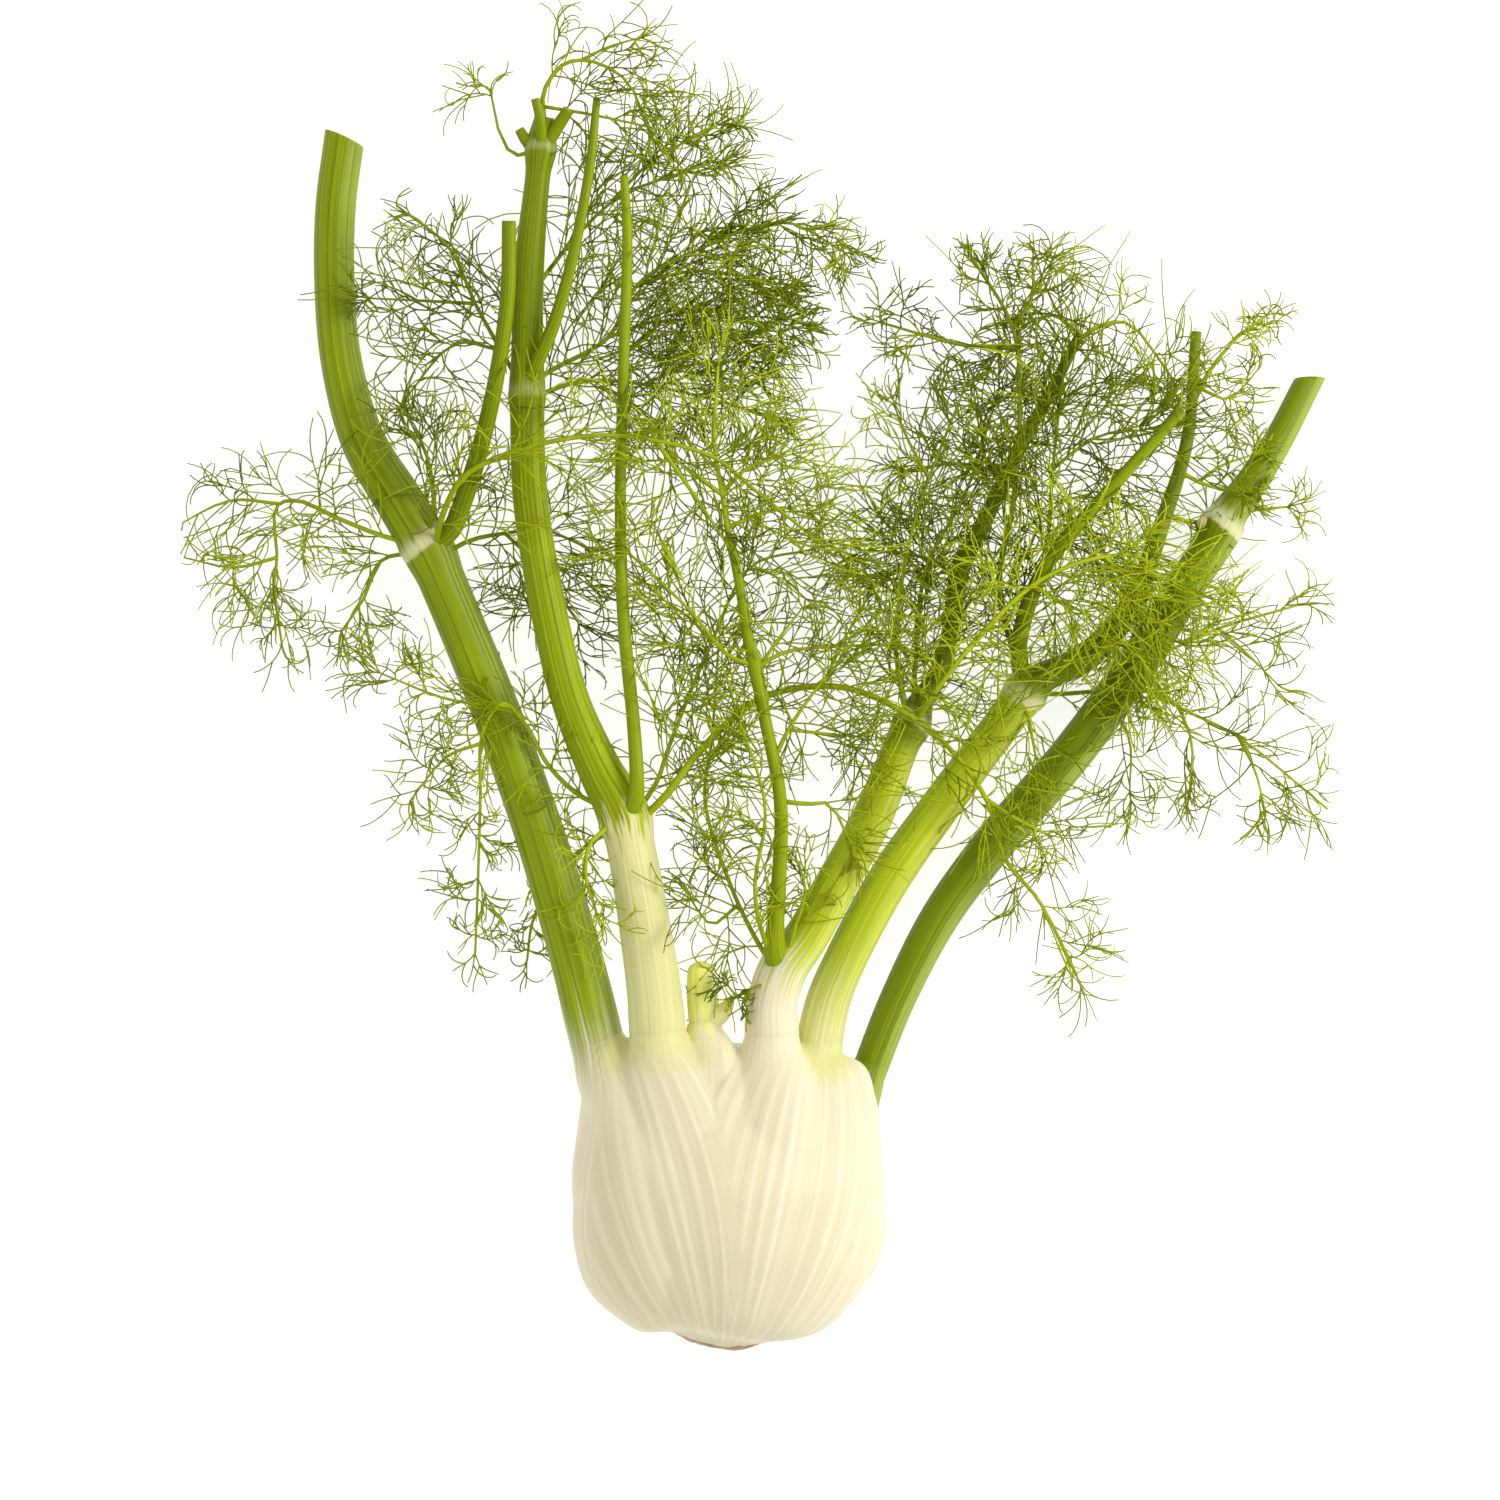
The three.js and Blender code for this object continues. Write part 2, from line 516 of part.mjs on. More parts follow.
// Tries a few ways to place a straight thread and gives the first that is clear, or nothing
function clearThread(owner, start, directions, length, width) {
  for (const direction of directions) {
    for (const share of [1, SHORT_SHARE]) {
      const end = start.clone().addScaledVector(direction, length * share);
      if (isClear(owner, [start.clone().lerp(end, ROOT_SHARE), end], width)) {
        return [start, end];
      }
    }
  }
  return null;
}

function addThread(owner, points, width, geometries) {
  const route = points.map((point) => [point.x, point.y, point.z, width]);
  geometries.push(tube(route, THREAD_SIDES, 1, 0, true));
  addRods(owner, points, [width, width]);
}

// The side threads of one stem: pairs that leave it on both sides, each with a fork
function growThreads(owner, path, length, random, geometries) {
  const count = Math.max(1, Math.round(length / PINNA_GAP));
  for (let index = 0; index < count; index += 1) {
    const along = BARE_SHARE + (1 - BARE_SHARE) * ((index + 0.5) / count);
    const start = path.getPointAt(along);
    const forward = path.getTangentAt(along);
    const across = new THREE.Vector3(0, 0, 1).cross(forward).normalize();
    const reach = THREE.MathUtils.lerp(PINNA_LENGTH, TIP_LENGTH, along) * within(LENGTH_RANGE, random());
    for (const hand of [-1, 1]) {
      const directions = THREAD_RISES.map((rise) => across.clone().multiplyScalar(hand)
        .addScaledVector(forward, within(FORWARD_RANGE, random()))
        .add(new THREE.Vector3(0, 0, rise + RISE_SPREAD * (random() - 0.5)))
        .normalize());
      const points = clearThread(owner, start, directions, reach, THREAD);
      if (points) {
        addThread(owner, points, THREAD, geometries);
        growFork(owner, points, [hand, -hand], reach, random, geometries);
      }
    }
  }
}

// A fork that leaves a side thread part way along it, on either hand
function growFork(owner, parent, hands, reach, random, geometries) {
  const outward = parent[1].clone().sub(parent[0]).normalize();
  const across = new THREE.Vector3(0, 0, 1).cross(outward).normalize();
  const root = parent[0].clone().lerp(parent[1], FORK_SHARE);
  for (const hand of hands) {
    const directions = FORK_RISES.map((rise) => outward.clone().multiplyScalar(FORK_FORWARD)
      .addScaledVector(across, hand * within(FORK_SPREAD_RANGE, random()))
      .add(new THREE.Vector3(0, 0, rise))
      .normalize());
    const points = clearThread(owner, root, directions, reach * FORK_REACH, THREAD);
    if (points) {
      addThread(owner, points, THREAD * FORK_WIDTH, geometries);
      return;
    }
  }
}

// The stems of a frond as rows with their widths, thinner toward the tips
function stemRoutes(stems) {
  return stems.map((stem, order) => stem.map((point, index) => {
    const first = order === 0 ? 0 : SIDE_STEM_SHARE;
    const share = THREE.MathUtils.lerp(first, 1, index / (stem.length - 1));
    return [...point, THREE.MathUtils.lerp(STEM_WIDTH, STEM_TIP, share)];
  }));
}

function addFrond(name, stems, random) {
  const geometries = [];
  for (const route of stemRoutes(stems)) {
    geometries.push(tube(route, STEM_SIDES, Math.ceil(route.length * STEM_DETAIL), 0, true));
    const path = new THREE.CatmullRomCurve3(route.map(vector), false, 'centripetal');
    growThreads(name, path, path.getLength(), random, geometries);
  }
  const solid = taken.reduce((rest, space) => rest.subtract(space), joined(geometries));
  addPiece(name, largestBody(solid), LOOKS.frond);
}

addStalk('stalk_left', [LEFT_STALK, LEFT_SIDE_STEM], LOOKS.outerStalk,
  (solid) => trimmedFlat(cutAcross(solid, LEFT_CUT.point, LEFT_CUT.direction)));
addStalk('stalk_tall', [TALL_STALK, TALL_FRONT_STEM, TALL_TOP_STEM], LOOKS.paleStalk);
addStalk('stub', [STUB, STUB_BUD], LOOKS.stub);
addStalk('stalk_inner', [INNER_STALK, INNER_UPRIGHT_STEM], LOOKS.paleStalk);
addStalk('stalk_right', [RIGHT_STALK, RIGHT_SIDE_STEM], LOOKS.paleStalk);
addStalk('stalk_outer', [OUTER_STALK], LOOKS.outerStalk, trimmedFlat);
addBulb();
for (const [name, stems] of Object.entries(FRONDS)) {
  for (const route of stemRoutes(stems)) {
    const { points, sizes } = sampled(route, STEM_RODS);
    addRods(name, points, sizes);
  }
}
const random = seededRandom(SEED);
for (const [name, stems] of Object.entries(FRONDS)) {
  addFrond(name, stems, random);
}

export default fennel;
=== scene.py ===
"""The looks of a whole fennel lying on a pale surface: its ribbed bulb, cut stalks and feathery fronds."""
import math
import random

import bpy
import numpy as np
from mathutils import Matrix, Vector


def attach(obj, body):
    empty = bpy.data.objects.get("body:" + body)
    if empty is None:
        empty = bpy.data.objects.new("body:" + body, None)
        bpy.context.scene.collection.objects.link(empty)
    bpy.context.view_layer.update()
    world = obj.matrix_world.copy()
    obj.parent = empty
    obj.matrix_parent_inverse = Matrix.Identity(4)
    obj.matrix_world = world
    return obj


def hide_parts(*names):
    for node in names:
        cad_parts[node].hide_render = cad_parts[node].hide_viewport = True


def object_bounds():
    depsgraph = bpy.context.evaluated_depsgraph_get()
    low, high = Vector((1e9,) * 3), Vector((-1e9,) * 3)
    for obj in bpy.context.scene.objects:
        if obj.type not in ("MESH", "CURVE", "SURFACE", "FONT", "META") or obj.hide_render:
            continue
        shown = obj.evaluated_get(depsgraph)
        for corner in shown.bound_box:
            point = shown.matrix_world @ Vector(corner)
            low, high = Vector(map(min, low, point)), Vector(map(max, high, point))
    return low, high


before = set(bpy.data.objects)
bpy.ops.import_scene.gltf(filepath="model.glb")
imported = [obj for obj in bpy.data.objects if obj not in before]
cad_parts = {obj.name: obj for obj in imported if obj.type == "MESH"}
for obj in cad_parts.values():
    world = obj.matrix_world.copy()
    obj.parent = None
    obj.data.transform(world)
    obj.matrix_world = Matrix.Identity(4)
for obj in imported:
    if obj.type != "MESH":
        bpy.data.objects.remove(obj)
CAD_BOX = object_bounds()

MM = 0.001

# Each row of a stalk is [x, y, z, thickness], in millimetres
LEFT_STALK = [
    [-38.4, 45, 33, 16.2], [-44, 68, 34, 14.7], [-53, 99, 33, 14.1], [-59, 117, 32, 13.8], [-70, 147, 30, 13.5],
    [-85, 183, 27, 13.2], [-88, 190, 27, 14.6], [-92, 197, 27, 14], [-98, 207, 26, 13.6], [-109, 225, 22, 12.6],
    [-116, 249, 16.5, 11.6], [-118.5, 273, 11.5, 11.4], [-118.5, 297, 7.2, 11.4], [-116, 318, 5.5, 11.4],
]
LEFT_SIDE_STEM = [
    [-89, 193, 29, 6], [-82, 198, 33, 6], [-78, 207, 37, 5.7], [-73, 222, 40, 5.3], [-68, 243, 43, 4.8],
    [-64.5, 267, 46.5, 4.5], [-64, 289, 49, 4.2],
]
TALL_STALK = [
    [-20, 48, 42, 16.8], [-21, 60, 43, 16.2], [-25, 87, 44.5, 15], [-28, 104, 45, 14.4], [-29.5, 111, 45, 15.8],
    [-32, 117, 45, 15], [-37, 126, 44.5, 13.2], [-46, 147, 43, 11.4], [-53, 176, 41, 10.8],
    [-58, 207, 39.5, 10.5], [-59, 232, 38.5, 10.2], [-59, 240, 38.5, 10.9], [-59, 250, 38, 9.6],
    [-58.5, 276, 37, 9], [-56, 303, 36, 7.5], [-55, 312, 36, 9.2], [-54, 321, 36, 6],
]
TALL_SHORT_STEMS = [
    [[-54, 312, 37, 4.4], [-50, 318, 39, 4], [-46.5, 323, 40.5, 3.4]],
    [[-57, 311, 36, 3.8], [-60, 315, 37, 3.4], [-61.5, 317.5, 37.5, 2.8]],
    [[-55, 314, 39, 3.6], [-55, 320, 41.5, 3.2], [-56.5, 326, 42.5, 2.6]],
]
TALL_FRONT_STEM = [
    [-29, 112, 48, 5.4], [-26.5, 117, 52, 5.2], [-26, 124, 54, 4.4], [-27, 140, 52, 4], [-30, 171, 49, 3.8],
    [-31, 207, 46, 3.4], [-30, 249, 45, 3.3], [-29, 285, 44, 3.1], [-30, 303, 43, 2.4],
]
TALL_TOP_STEM = [
    [-59, 240, 40, 4.8], [-56, 247, 43.5, 4.3], [-51, 258, 46, 3.9], [-45, 279, 47, 3.3], [-40, 306, 46, 2.9],
    [-38, 326, 45, 2.2],
]
STUB = [[-6, 48, 38, 9], [-6.6, 58, 39, 8.2], [-7, 66, 40, 7.2], [-7, 69, 40, 5.6]]
STUB_BUD = [[-4.5, 50.5, 40, 5], [-1, 53.5, 41, 5.4], [1.5, 57, 41.5, 3]]
INNER_STALK = [
    [14, 47, 40, 16.2], [14, 56, 41, 15], [17.5, 67, 42, 14.6], [24, 76, 42, 13.2], [32, 90, 42, 12.6],
    [44, 112, 40, 12], [53, 134, 38, 10.5], [56, 140, 37, 11.4], [59, 147, 36, 7.4], [63, 153, 35, 6],
    [67, 165, 34, 5.4], [71, 188, 33, 6], [76, 197, 33, 5], [88, 222, 33, 4.2], [98, 240, 33, 3.6],
    [106, 256, 33, 2.8],
]
INNER_UPRIGHT_STEM = [
    [16.5, 66, 43, 7.6], [15, 72, 47, 7], [15, 80, 49.5, 5.4], [16, 93, 51, 4.5], [16.5, 117, 53.5, 4],
    [12, 141, 54, 3.7], [9, 157, 53.5, 4.2], [7, 165, 52, 3.2], [4, 183, 50, 2.8], [1.5, 195, 48, 2.8],
]
RIGHT_STALK = [
    [28, 44, 32, 13.8], [31, 57, 32, 13.2], [36, 69, 32, 12.6], [49, 93, 31, 12.6], [66, 117, 29, 12],
    [85, 142, 27, 11.4], [91, 150, 26, 13.2], [96, 154, 26.5, 9.4], [105, 158, 27.5, 8.4], [116, 167, 28, 7.8],
    [123, 178, 28, 6.3], [132, 202, 27, 4.8], [139, 225, 25, 3.9], [142, 258, 22, 3.3],
]
RIGHT_SIDE_STEM = [
    [91, 151, 27, 6], [88.5, 157, 32, 5.5], [88, 165, 37, 5.1], [95, 186, 46, 4.5], [116, 211, 47, 3.9],
    [136, 233, 46, 3],
]
OUTER_STALK = [
    [44, 37, 24, 10.5], [52, 57, 23.5, 10.8], [65, 82, 22, 11.7], [83, 106, 20, 12.6], [104, 130, 18, 12.6],
    [126, 160, 15.5, 12.3], [141, 184, 13.5, 11.7], [147.5, 194, 12.5, 12.2], [150, 199, 12, 13.5],
    [153, 204, 11.5, 11.4], [159, 212, 10.3, 9.9], [168, 226, 7.4, 8.9], [178, 245, 4, 8.4],
]

OUTER_KNOB = [[149, 199, 13, 6], [145.6, 200.4, 14.5, 5.4], [142.8, 201.2, 15, 4.2]]

# Each row of a leaf base is [x, y, z, width, depth]; it runs from the root end to the neck under its stalk
SHEATHS = {
    "middle": [
        [-4, -46.5, 31.5, 15, 13], [-3.6, -44.5, 31.5, 25, 22], [-3, -41, 31.5, 38, 31],
        [-2.2, -37, 31.8, 57, 43], [-1.4, -33, 32, 68, 51], [-0.4, -27, 32, 78, 58], [1, -15, 31.8, 89, 66],
        [1, 3, 31.8, 93, 68.4], [1.4, 18, 32.4, 90, 58], [2.2, 29, 33.5, 87, 44], [3, 36, 34.3, 82, 32],
        [3.4, 40.5, 35, 76, 21], [3.6, 43, 35.4, 66, 12],
    ],
    "left": [
        [-8, -40, 32, 12, 12], [-9.5, -36, 32.4, 28, 28], [-12.5, -30, 32.8, 41, 42], [-16, -20, 33, 54, 54],
        [-19, -2, 33, 54, 58], [-24, 14, 33, 42, 50], [-30.5, 29, 33, 26, 33], [-35.5, 38, 33, 19, 21],
        [-38.3, 44.6, 33, 16.2, 16.2],
    ],
    "tall": [
        [-2, -40, 35, 14, 14], [-3, -34, 36.5, 34, 32], [-5, -16, 37, 56, 50], [-8, 4, 38, 56, 49],
        [-13, 20, 39.5, 46, 42], [-17.5, 34, 41.3, 29, 27], [-19.3, 42, 42, 19, 18.5],
        [-20, 47.6, 42, 16.8, 16.8],
    ],
    "inner": [
        [-3, -10, 36, 40, 40], [-4, 15, 37, 38, 38], [-4, 30, 38, 28, 29], [-4.5, 39, 38.4, 19, 20],
        [-5.4, 45.5, 38.4, 12.5, 13], [-5.8, 47.4, 38.4, 10.4, 11],
    ],
    "centre_right": [
        [3, -40, 35, 14, 14], [6, -34, 36.5, 34, 32], [10, -14, 37, 54, 49], [13, 6, 38, 52, 47],
        [14, 22, 39, 42, 40], [14.4, 34, 39.8, 28, 27], [14, 41.5, 40, 19, 18.5], [14, 46.6, 40, 16.2, 16.2],
    ],
    "right": [
        [5, -40, 31, 14, 14], [9, -34, 31.6, 36, 34], [15, -16, 32, 58, 54], [18, 4, 32, 56, 54],
        [22, 20, 32, 42, 44], [25.5, 33, 32, 26, 28], [27.6, 41, 32, 15.5, 16], [28.2, 43.6, 32, 13.8, 13.8],
    ],
    "outer": [
        [8, -37, 28, 14, 14], [13, -31, 28, 36, 32], [20, -14, 28, 54, 50], [24, 2, 27.5, 50, 46],
        [30, 14, 26, 36, 36], [37, 26, 24.8, 20, 22], [42, 33.6, 24.2, 12.4, 13], [43.8, 36.6, 24, 10.5, 10.5],
    ],
}

# Each stem of a frond is a list of [x, y, z] points; the first stem leaves the stalk, the others leave the first
FRONDS = {
    "left_long": [
        [[-93, 194, 29], [-102, 196, 30], [-115, 201, 31], [-129, 207, 28], [-135, 205, 26], [-135, 190, 23],
         [-136, 181, 21], [-134, 164, 17]],
        [[-134, 206, 26.5], [-149, 207, 25], [-168, 198, 23]],
        [[-135, 190, 23], [-148, 187, 21.5], [-163, 190, 20]],
    ],
    "left_drop": [[[-90, 190, 23], [-98, 191, 20], [-104, 189, 20], [-109, 178, 18.5], [-116, 168, 16]]],
    "left_up": [[[-89, 195, 31], [-87, 207, 37.5], [-89, 220, 38.5], [-96, 234, 39]]],
    "arch": [
        [[-87, 193, 31], [-83, 204, 46], [-77, 213, 53], [-63, 220, 55], [-35, 225, 55.5], [-4, 219, 52],
         [9, 209, 50], [29, 193, 47]],
        [[-20, 223, 54], [-8, 206, 51.5], [2, 191, 49]],
    ],
    "inner_left": [
        [[-86, 190, 29], [-76, 195, 30.5], [-66, 197, 30], [-54, 198, 29], [-42, 193, 28]],
        [[-66, 197, 30], [-57, 188, 28], [-44, 170, 26]],
    ],
    "crown_left": [
        [[-60, 239, 37], [-65, 248, 34], [-75, 266, 29], [-83, 283, 26], [-99, 296, 24]],
        [[-75, 266, 29], [-90, 267, 26.5], [-107, 268, 24]],
        [[-68, 252, 32], [-81, 254, 28.5], [-97, 237, 24]],
    ],
    "top": [
        [[-54, 320, 37], [-54, 328, 41], [-48, 336, 44], [-40, 337, 44], [-29, 331, 43], [-22, 315, 40]],
        [[-43, 337, 44], [-35, 341, 44], [-25, 344, 44]],
        [[-54, 324, 39], [-38, 321, 41.5], [-11, 315, 41]],
    ],
    "top_left": [[[-56, 313, 35], [-61, 310, 33], [-66, 313, 32], [-70, 328, 31]]],
    "tall_high": [
        [[-58, 268, 36], [-52, 277, 30], [-44, 287, 28], [-32, 298, 26.5], [-4, 309, 24]],
        [[-34, 297, 27], [-22, 309, 26], [-2, 320, 26]],
    ],
    "tall_long": [
        [[-58, 242, 36], [-50, 247, 30.5], [-35, 256, 28], [-26, 272, 29], [-8, 282, 31], [18, 290, 33],
         [36, 281, 32]],
        [[-35, 256, 28], [-20, 261, 25.5], [20, 260, 23]],
        [[-26, 272, 29], [-8, 276, 27], [18, 272, 25]],
    ],
    "tall_low": [
        [[-58, 237, 36], [-46, 242, 29.5], [-34, 243, 27], [-10, 239, 26], [12, 233, 24]],
        [[-24, 242, 26.5], [-10, 248, 24], [4, 249, 23]],
    ],
    "low_left": [
        [[-34, 114, 44], [-44, 119, 42.5], [-53, 128, 41], [-59, 139, 41], [-66, 146, 42], [-72, 138, 42],
         [-73, 117, 38], [-74, 92, 33], [-75, 71, 29]],
        [[-72.5, 134, 41.5], [-83, 130, 39], [-94, 117, 35]],
        [[-64, 145, 42], [-82, 147, 41], [-103, 155, 39]],
    ],
    "low_front": [[[-32, 111, 48], [-40, 104, 54], [-41, 94, 53], [-38, 84, 52]]],
    "low_behind": [[[-33, 108, 40], [-42, 103, 25], [-50, 94, 17], [-58, 81, 16], [-60, 68, 15]]],
    "middle_rise": [
        [[-25, 115, 45], [-20, 123, 44.5], [-17, 132, 43], [-4, 164, 39], [8, 187, 36], [26, 192, 34]],
        [[-4, 164, 39], [-10, 171, 37], [-20, 178, 36]],
    ],
    "middle_arch": [
        [[-24, 112, 47], [-17, 119, 50], [-8, 131, 48], [10, 147, 43], [28, 151, 46], [41, 149, 50],
         [58, 140, 51], [68, 131, 48], [78, 117, 43], [84, 99, 36], [94, 87, 31], [106, 64, 21]],
        [[78, 117, 43], [86, 112, 38], [96, 107, 33]],
    ],
    "inner_left_thin": [
        [[15, 66, 42], [8, 78, 42], [2, 91, 40], [-6, 117, 38], [-4, 134, 37], [-2, 162, 36]],
        [[4, 86, 41], [-4, 80, 38], [-10, 87, 36]],
    ],
    "inner_front_thin": [[[14, 70, 47], [10, 82, 54], [9, 93, 57], [12, 115, 58], [4, 142, 56]]],
    "inner_short": [[[18, 68, 46], [21, 80, 50], [24, 90, 50], [22, 98, 50]]],
    "inner_curl": [[[15, 62, 44], [9, 62, 48], [5, 58, 48], [1, 62, 48]]],
    "upright_left": [[[9, 157, 54], [1, 160, 55], [-10, 173, 54.5], [-28, 190, 51]]],
    "upright_right": [
        [[9, 156, 54], [18, 161, 54], [40, 163, 52]],
        [[11, 157.5, 54], [16, 165, 54], [23, 174, 54]],
    ],
    "upright_top": [
        [[1.5, 193, 48], [-0.5, 207, 48], [-3, 222, 47], [-2, 246, 46]],
        [[-1, 208, 48], [7, 216, 46], [20, 220, 45]],
        [[-1, 208, 48], [-9, 214, 47], [-18, 221, 46]],
        [[1, 198, 48], [10, 202, 46], [24, 205, 45]],
    ],
    "upright_side": [
        [[14, 128, 54], [20, 140, 56], [30, 154, 56]],
        [[19, 138, 55.7], [28, 137, 55], [39, 136, 55]],
    ],
    "upright_low": [[[16, 117, 53.5], [24, 116, 54], [31, 116, 53], [36, 107, 52]]],
    "inner_high_left": [
        [[55, 138, 39], [52, 153, 41.5], [51, 166, 41], [56, 198, 39], [64, 221, 38], [72, 241, 37]],
        [[61, 213, 38.3], [55, 224, 37], [51, 234, 36]],
    ],
    "inner_high_right": [[[56, 141, 38], [57, 160, 41.5], [60, 186, 38.5], [72, 209, 36], [82, 240, 33]]],
    "inner_plume": [
        [[56, 139, 40], [63, 150, 46.5], [75, 165, 49], [93, 182, 49], [111, 189, 51.5], [126, 188, 42],
         [134, 165, 29]],
        [[113, 189, 51], [124, 178, 38], [124, 150, 29]],
        [[91, 181, 49], [100, 176, 44], [112, 171, 41]],
    ],
    "inner_mid": [[[70, 182, 33], [62, 189, 31], [44, 192, 27]]],
    "inner_upper": [[[84, 214, 33], [70, 218, 30], [56, 216, 28]]],
    "inner_tip": [
        [[105, 254, 33], [112, 259, 31], [121, 260, 30], [134, 244, 29]],
        [[106.5, 256, 33], [100, 263, 31], [95, 274, 30]],
    ],
    "right_high": [
        [[90, 150, 29], [86, 163, 33], [82, 183, 37], [86, 205, 38.5], [88, 234, 39], [86, 258, 38],
         [74, 279, 36]],
        [[87, 252, 38.4], [72, 253, 35], [47, 260, 32]],
        [[86, 258, 38], [92, 268, 35], [92, 279, 34]],
    ],
    "right_inner": [
        [[94, 185, 44.5], [96.5, 196, 38], [98, 216, 37], [101, 244, 36.5]],
        [[98, 216, 37], [110, 225, 35], [124, 229, 34]],
    ],
    "right_low": [[[89, 148, 26], [91, 141, 33.5], [93, 130, 34.5]]],
    "fork_behind": [
        [[112, 163, 26], [118, 162, 14], [128, 160, 7], [150, 169, 5.8], [174, 176, 8]],
        [[150, 169, 5.8], [158, 162, 6], [168, 152, 6]],
    ],
    "joint_behind": [
        [[92, 149, 23], [102, 149, 13.5], [116, 150, 7], [128, 150, 5.3], [140, 144, 5.5], [156, 136, 7],
         [183, 114, 9]],
        [[138, 145, 5.5], [142, 134, 6], [141, 119, 7]],
        [[116, 150, 7], [123, 135, 6], [123, 119, 6]],
        [[156, 136, 7], [161, 126, 7], [164, 114, 7]],
    ],
    "fork_low": [[[132, 203, 26], [142, 201, 13], [152, 203, 4.2], [161, 205, 4], [171, 206, 6]]],
    "fork_high": [
        [[140, 232, 24], [144, 243, 23], [154, 256, 21], [163, 263, 20]],
        [[143, 241, 23.2], [152, 238, 20], [161, 247, 18]],
    ],
    "fork_side": [
        [[136.5, 216, 26], [145, 212, 20], [157, 210, 17]],
        [[143, 213, 21], [150, 218, 19], [159, 221, 17]],
    ],
}


# Curves

def catmull(values, samples, even=False):
    """Points on a Catmull-Rom curve through rows of values, with the rows' spacing even or centripetal."""
    rows = np.asarray(values, float)
    count = len(rows)
    places = np.asarray(samples) * (count - 1)
    index = np.minimum(places.astype(int), count - 2)
    share = (places - index)[:, None]
    padded = np.vstack([2 * rows[0] - rows[1], rows, 2 * rows[-1] - rows[-2]])
    p0, p1, p2, p3 = (padded[index + k] for k in range(4))
    if even:
        t1 = 0.5 * (p2 - p0)
        t2 = 0.5 * (p3 - p1)
    else:
        d0 = np.sqrt(np.linalg.norm(p1 - p0, axis=1))[:, None]
        d1 = np.sqrt(np.linalg.norm(p2 - p1, axis=1))[:, None]
        d2 = np.sqrt(np.linalg.norm(p3 - p2, axis=1))[:, None]
        t1 = ((p1 - p0) / d0 - (p2 - p0) / (d0 + d1) + (p2 - p1) / d1) * d1
        t2 = ((p2 - p1) / d1 - (p3 - p1) / (d1 + d2) + (p3 - p2) / d2) * d1
    return (p1 + t1 * share + (3 * (p2 - p1) - 2 * t1 - t2) * share ** 2
            + (2 * (p1 - p2) + t1 + t2) * share ** 3)


def unit(vectors):
    return vectors / np.maximum(np.linalg.norm(vectors, axis=-1, keepdims=True), 1e-9)


class Route:
    """A route of [x, y, z, width, depth] rows sampled evenly: its centres, directions and half sizes, in mm."""

    def __init__(self, rows, count):
        rows = [row if len(row) > 4 else [*row, row[3]] for row in rows]
        samples = np.linspace(0, 1, count)
        table = np.array(rows, float)
        self.centres = catmull(table[:, :3], samples)
        self.halves = catmull(table[:, 3:5], samples, even=True) / 2
        self.forward = unit(np.gradient(self.centres, axis=0))
        self.side = unit(np.cross(self.forward, [0, 0, 1]))
        self.top = np.cross(self.side, self.forward)
        steps = np.linalg.norm(np.diff(self.centres, axis=0), axis=1)
        self.lengths = np.concatenate([[0], np.cumsum(steps)])


def make_piece(name, vertices, faces, node, material, smooth=True):
    """A mesh piece in place of a CAD node, from vertices in mm."""
    mesh = bpy.data.meshes.new(name)
    mesh.from_pydata((np.asarray(vertices) * MM).tolist(), [], faces)
    mesh.update()
    piece = bpy.data.objects.new(name, mesh)
    bpy.context.collection.objects.link(piece)
    mesh.polygons.foreach_set("use_smooth", [smooth] * len(mesh.polygons))
    mesh.materials.append(material)
    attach(piece, "root")
    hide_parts(node)
    return piece


def set_colours(piece, colours):
    """Writes one colour for each vertex, in linear light."""
    layer = piece.data.color_attributes.new("tint", "FLOAT_COLOR", "POINT")
    rows = np.ones((len(colours), 4))
    rows[:, :3] = colours
    layer.data.foreach_set("color", rows.ravel())


def linear(red, green, blue):
    """A colour read as 0 to 255 values, in linear light."""
    values = np.array([red, green, blue]) / 255
    return np.where(values <= 0.04045, values / 12.92, ((values + 0.055) / 1.055) ** 2.4)


def mixed(first, second, share):
    share = np.clip(np.asarray(share), 0, 1)[..., None]
    return first * (1 - share) + second * share


def waves(angles, seed, counts):
    """An uneven ripple round a stalk or leaf base, from -1 to 1: a sum of whole waves with seeded phases."""
    rng = random.Random(seed)
    total = np.zeros_like(angles)
    for count, weight in counts:
        total += weight * np.cos(count * angles + rng.uniform(0, 2 * math.pi))
    return total / sum(weight for _, weight in counts)


def ridges(angles, seed, spacing, width):
    """Narrow ridges round a fan at uneven spacing, from 0 between them to 1 on the highest."""
    rng = random.Random(seed)
    total = np.zeros_like(angles)
    place = -math.pi
    while place < math.pi:
        height = rng.uniform(0.35, 1.0)
        reach = width * rng.uniform(0.7, 1.6)
        total = np.maximum(total, height * np.exp(-((angles - place) / reach) ** 2))
        place += spacing * rng.uniform(0.6, 1.4)
    return total


def smoothstep(low, high, values):
    """0 at low, 1 at high and smooth between them. low may be the larger."""
    share = np.clip((values - low) / (high - low), 0, 1)
    return share * share * (3 - 2 * share)


# Materials

def new_material(name):
    material = bpy.data.materials.new(name)
    material.use_nodes = True
    tree = material.node_tree
    shader = tree.nodes["Principled BSDF"]
    return material, tree, shader


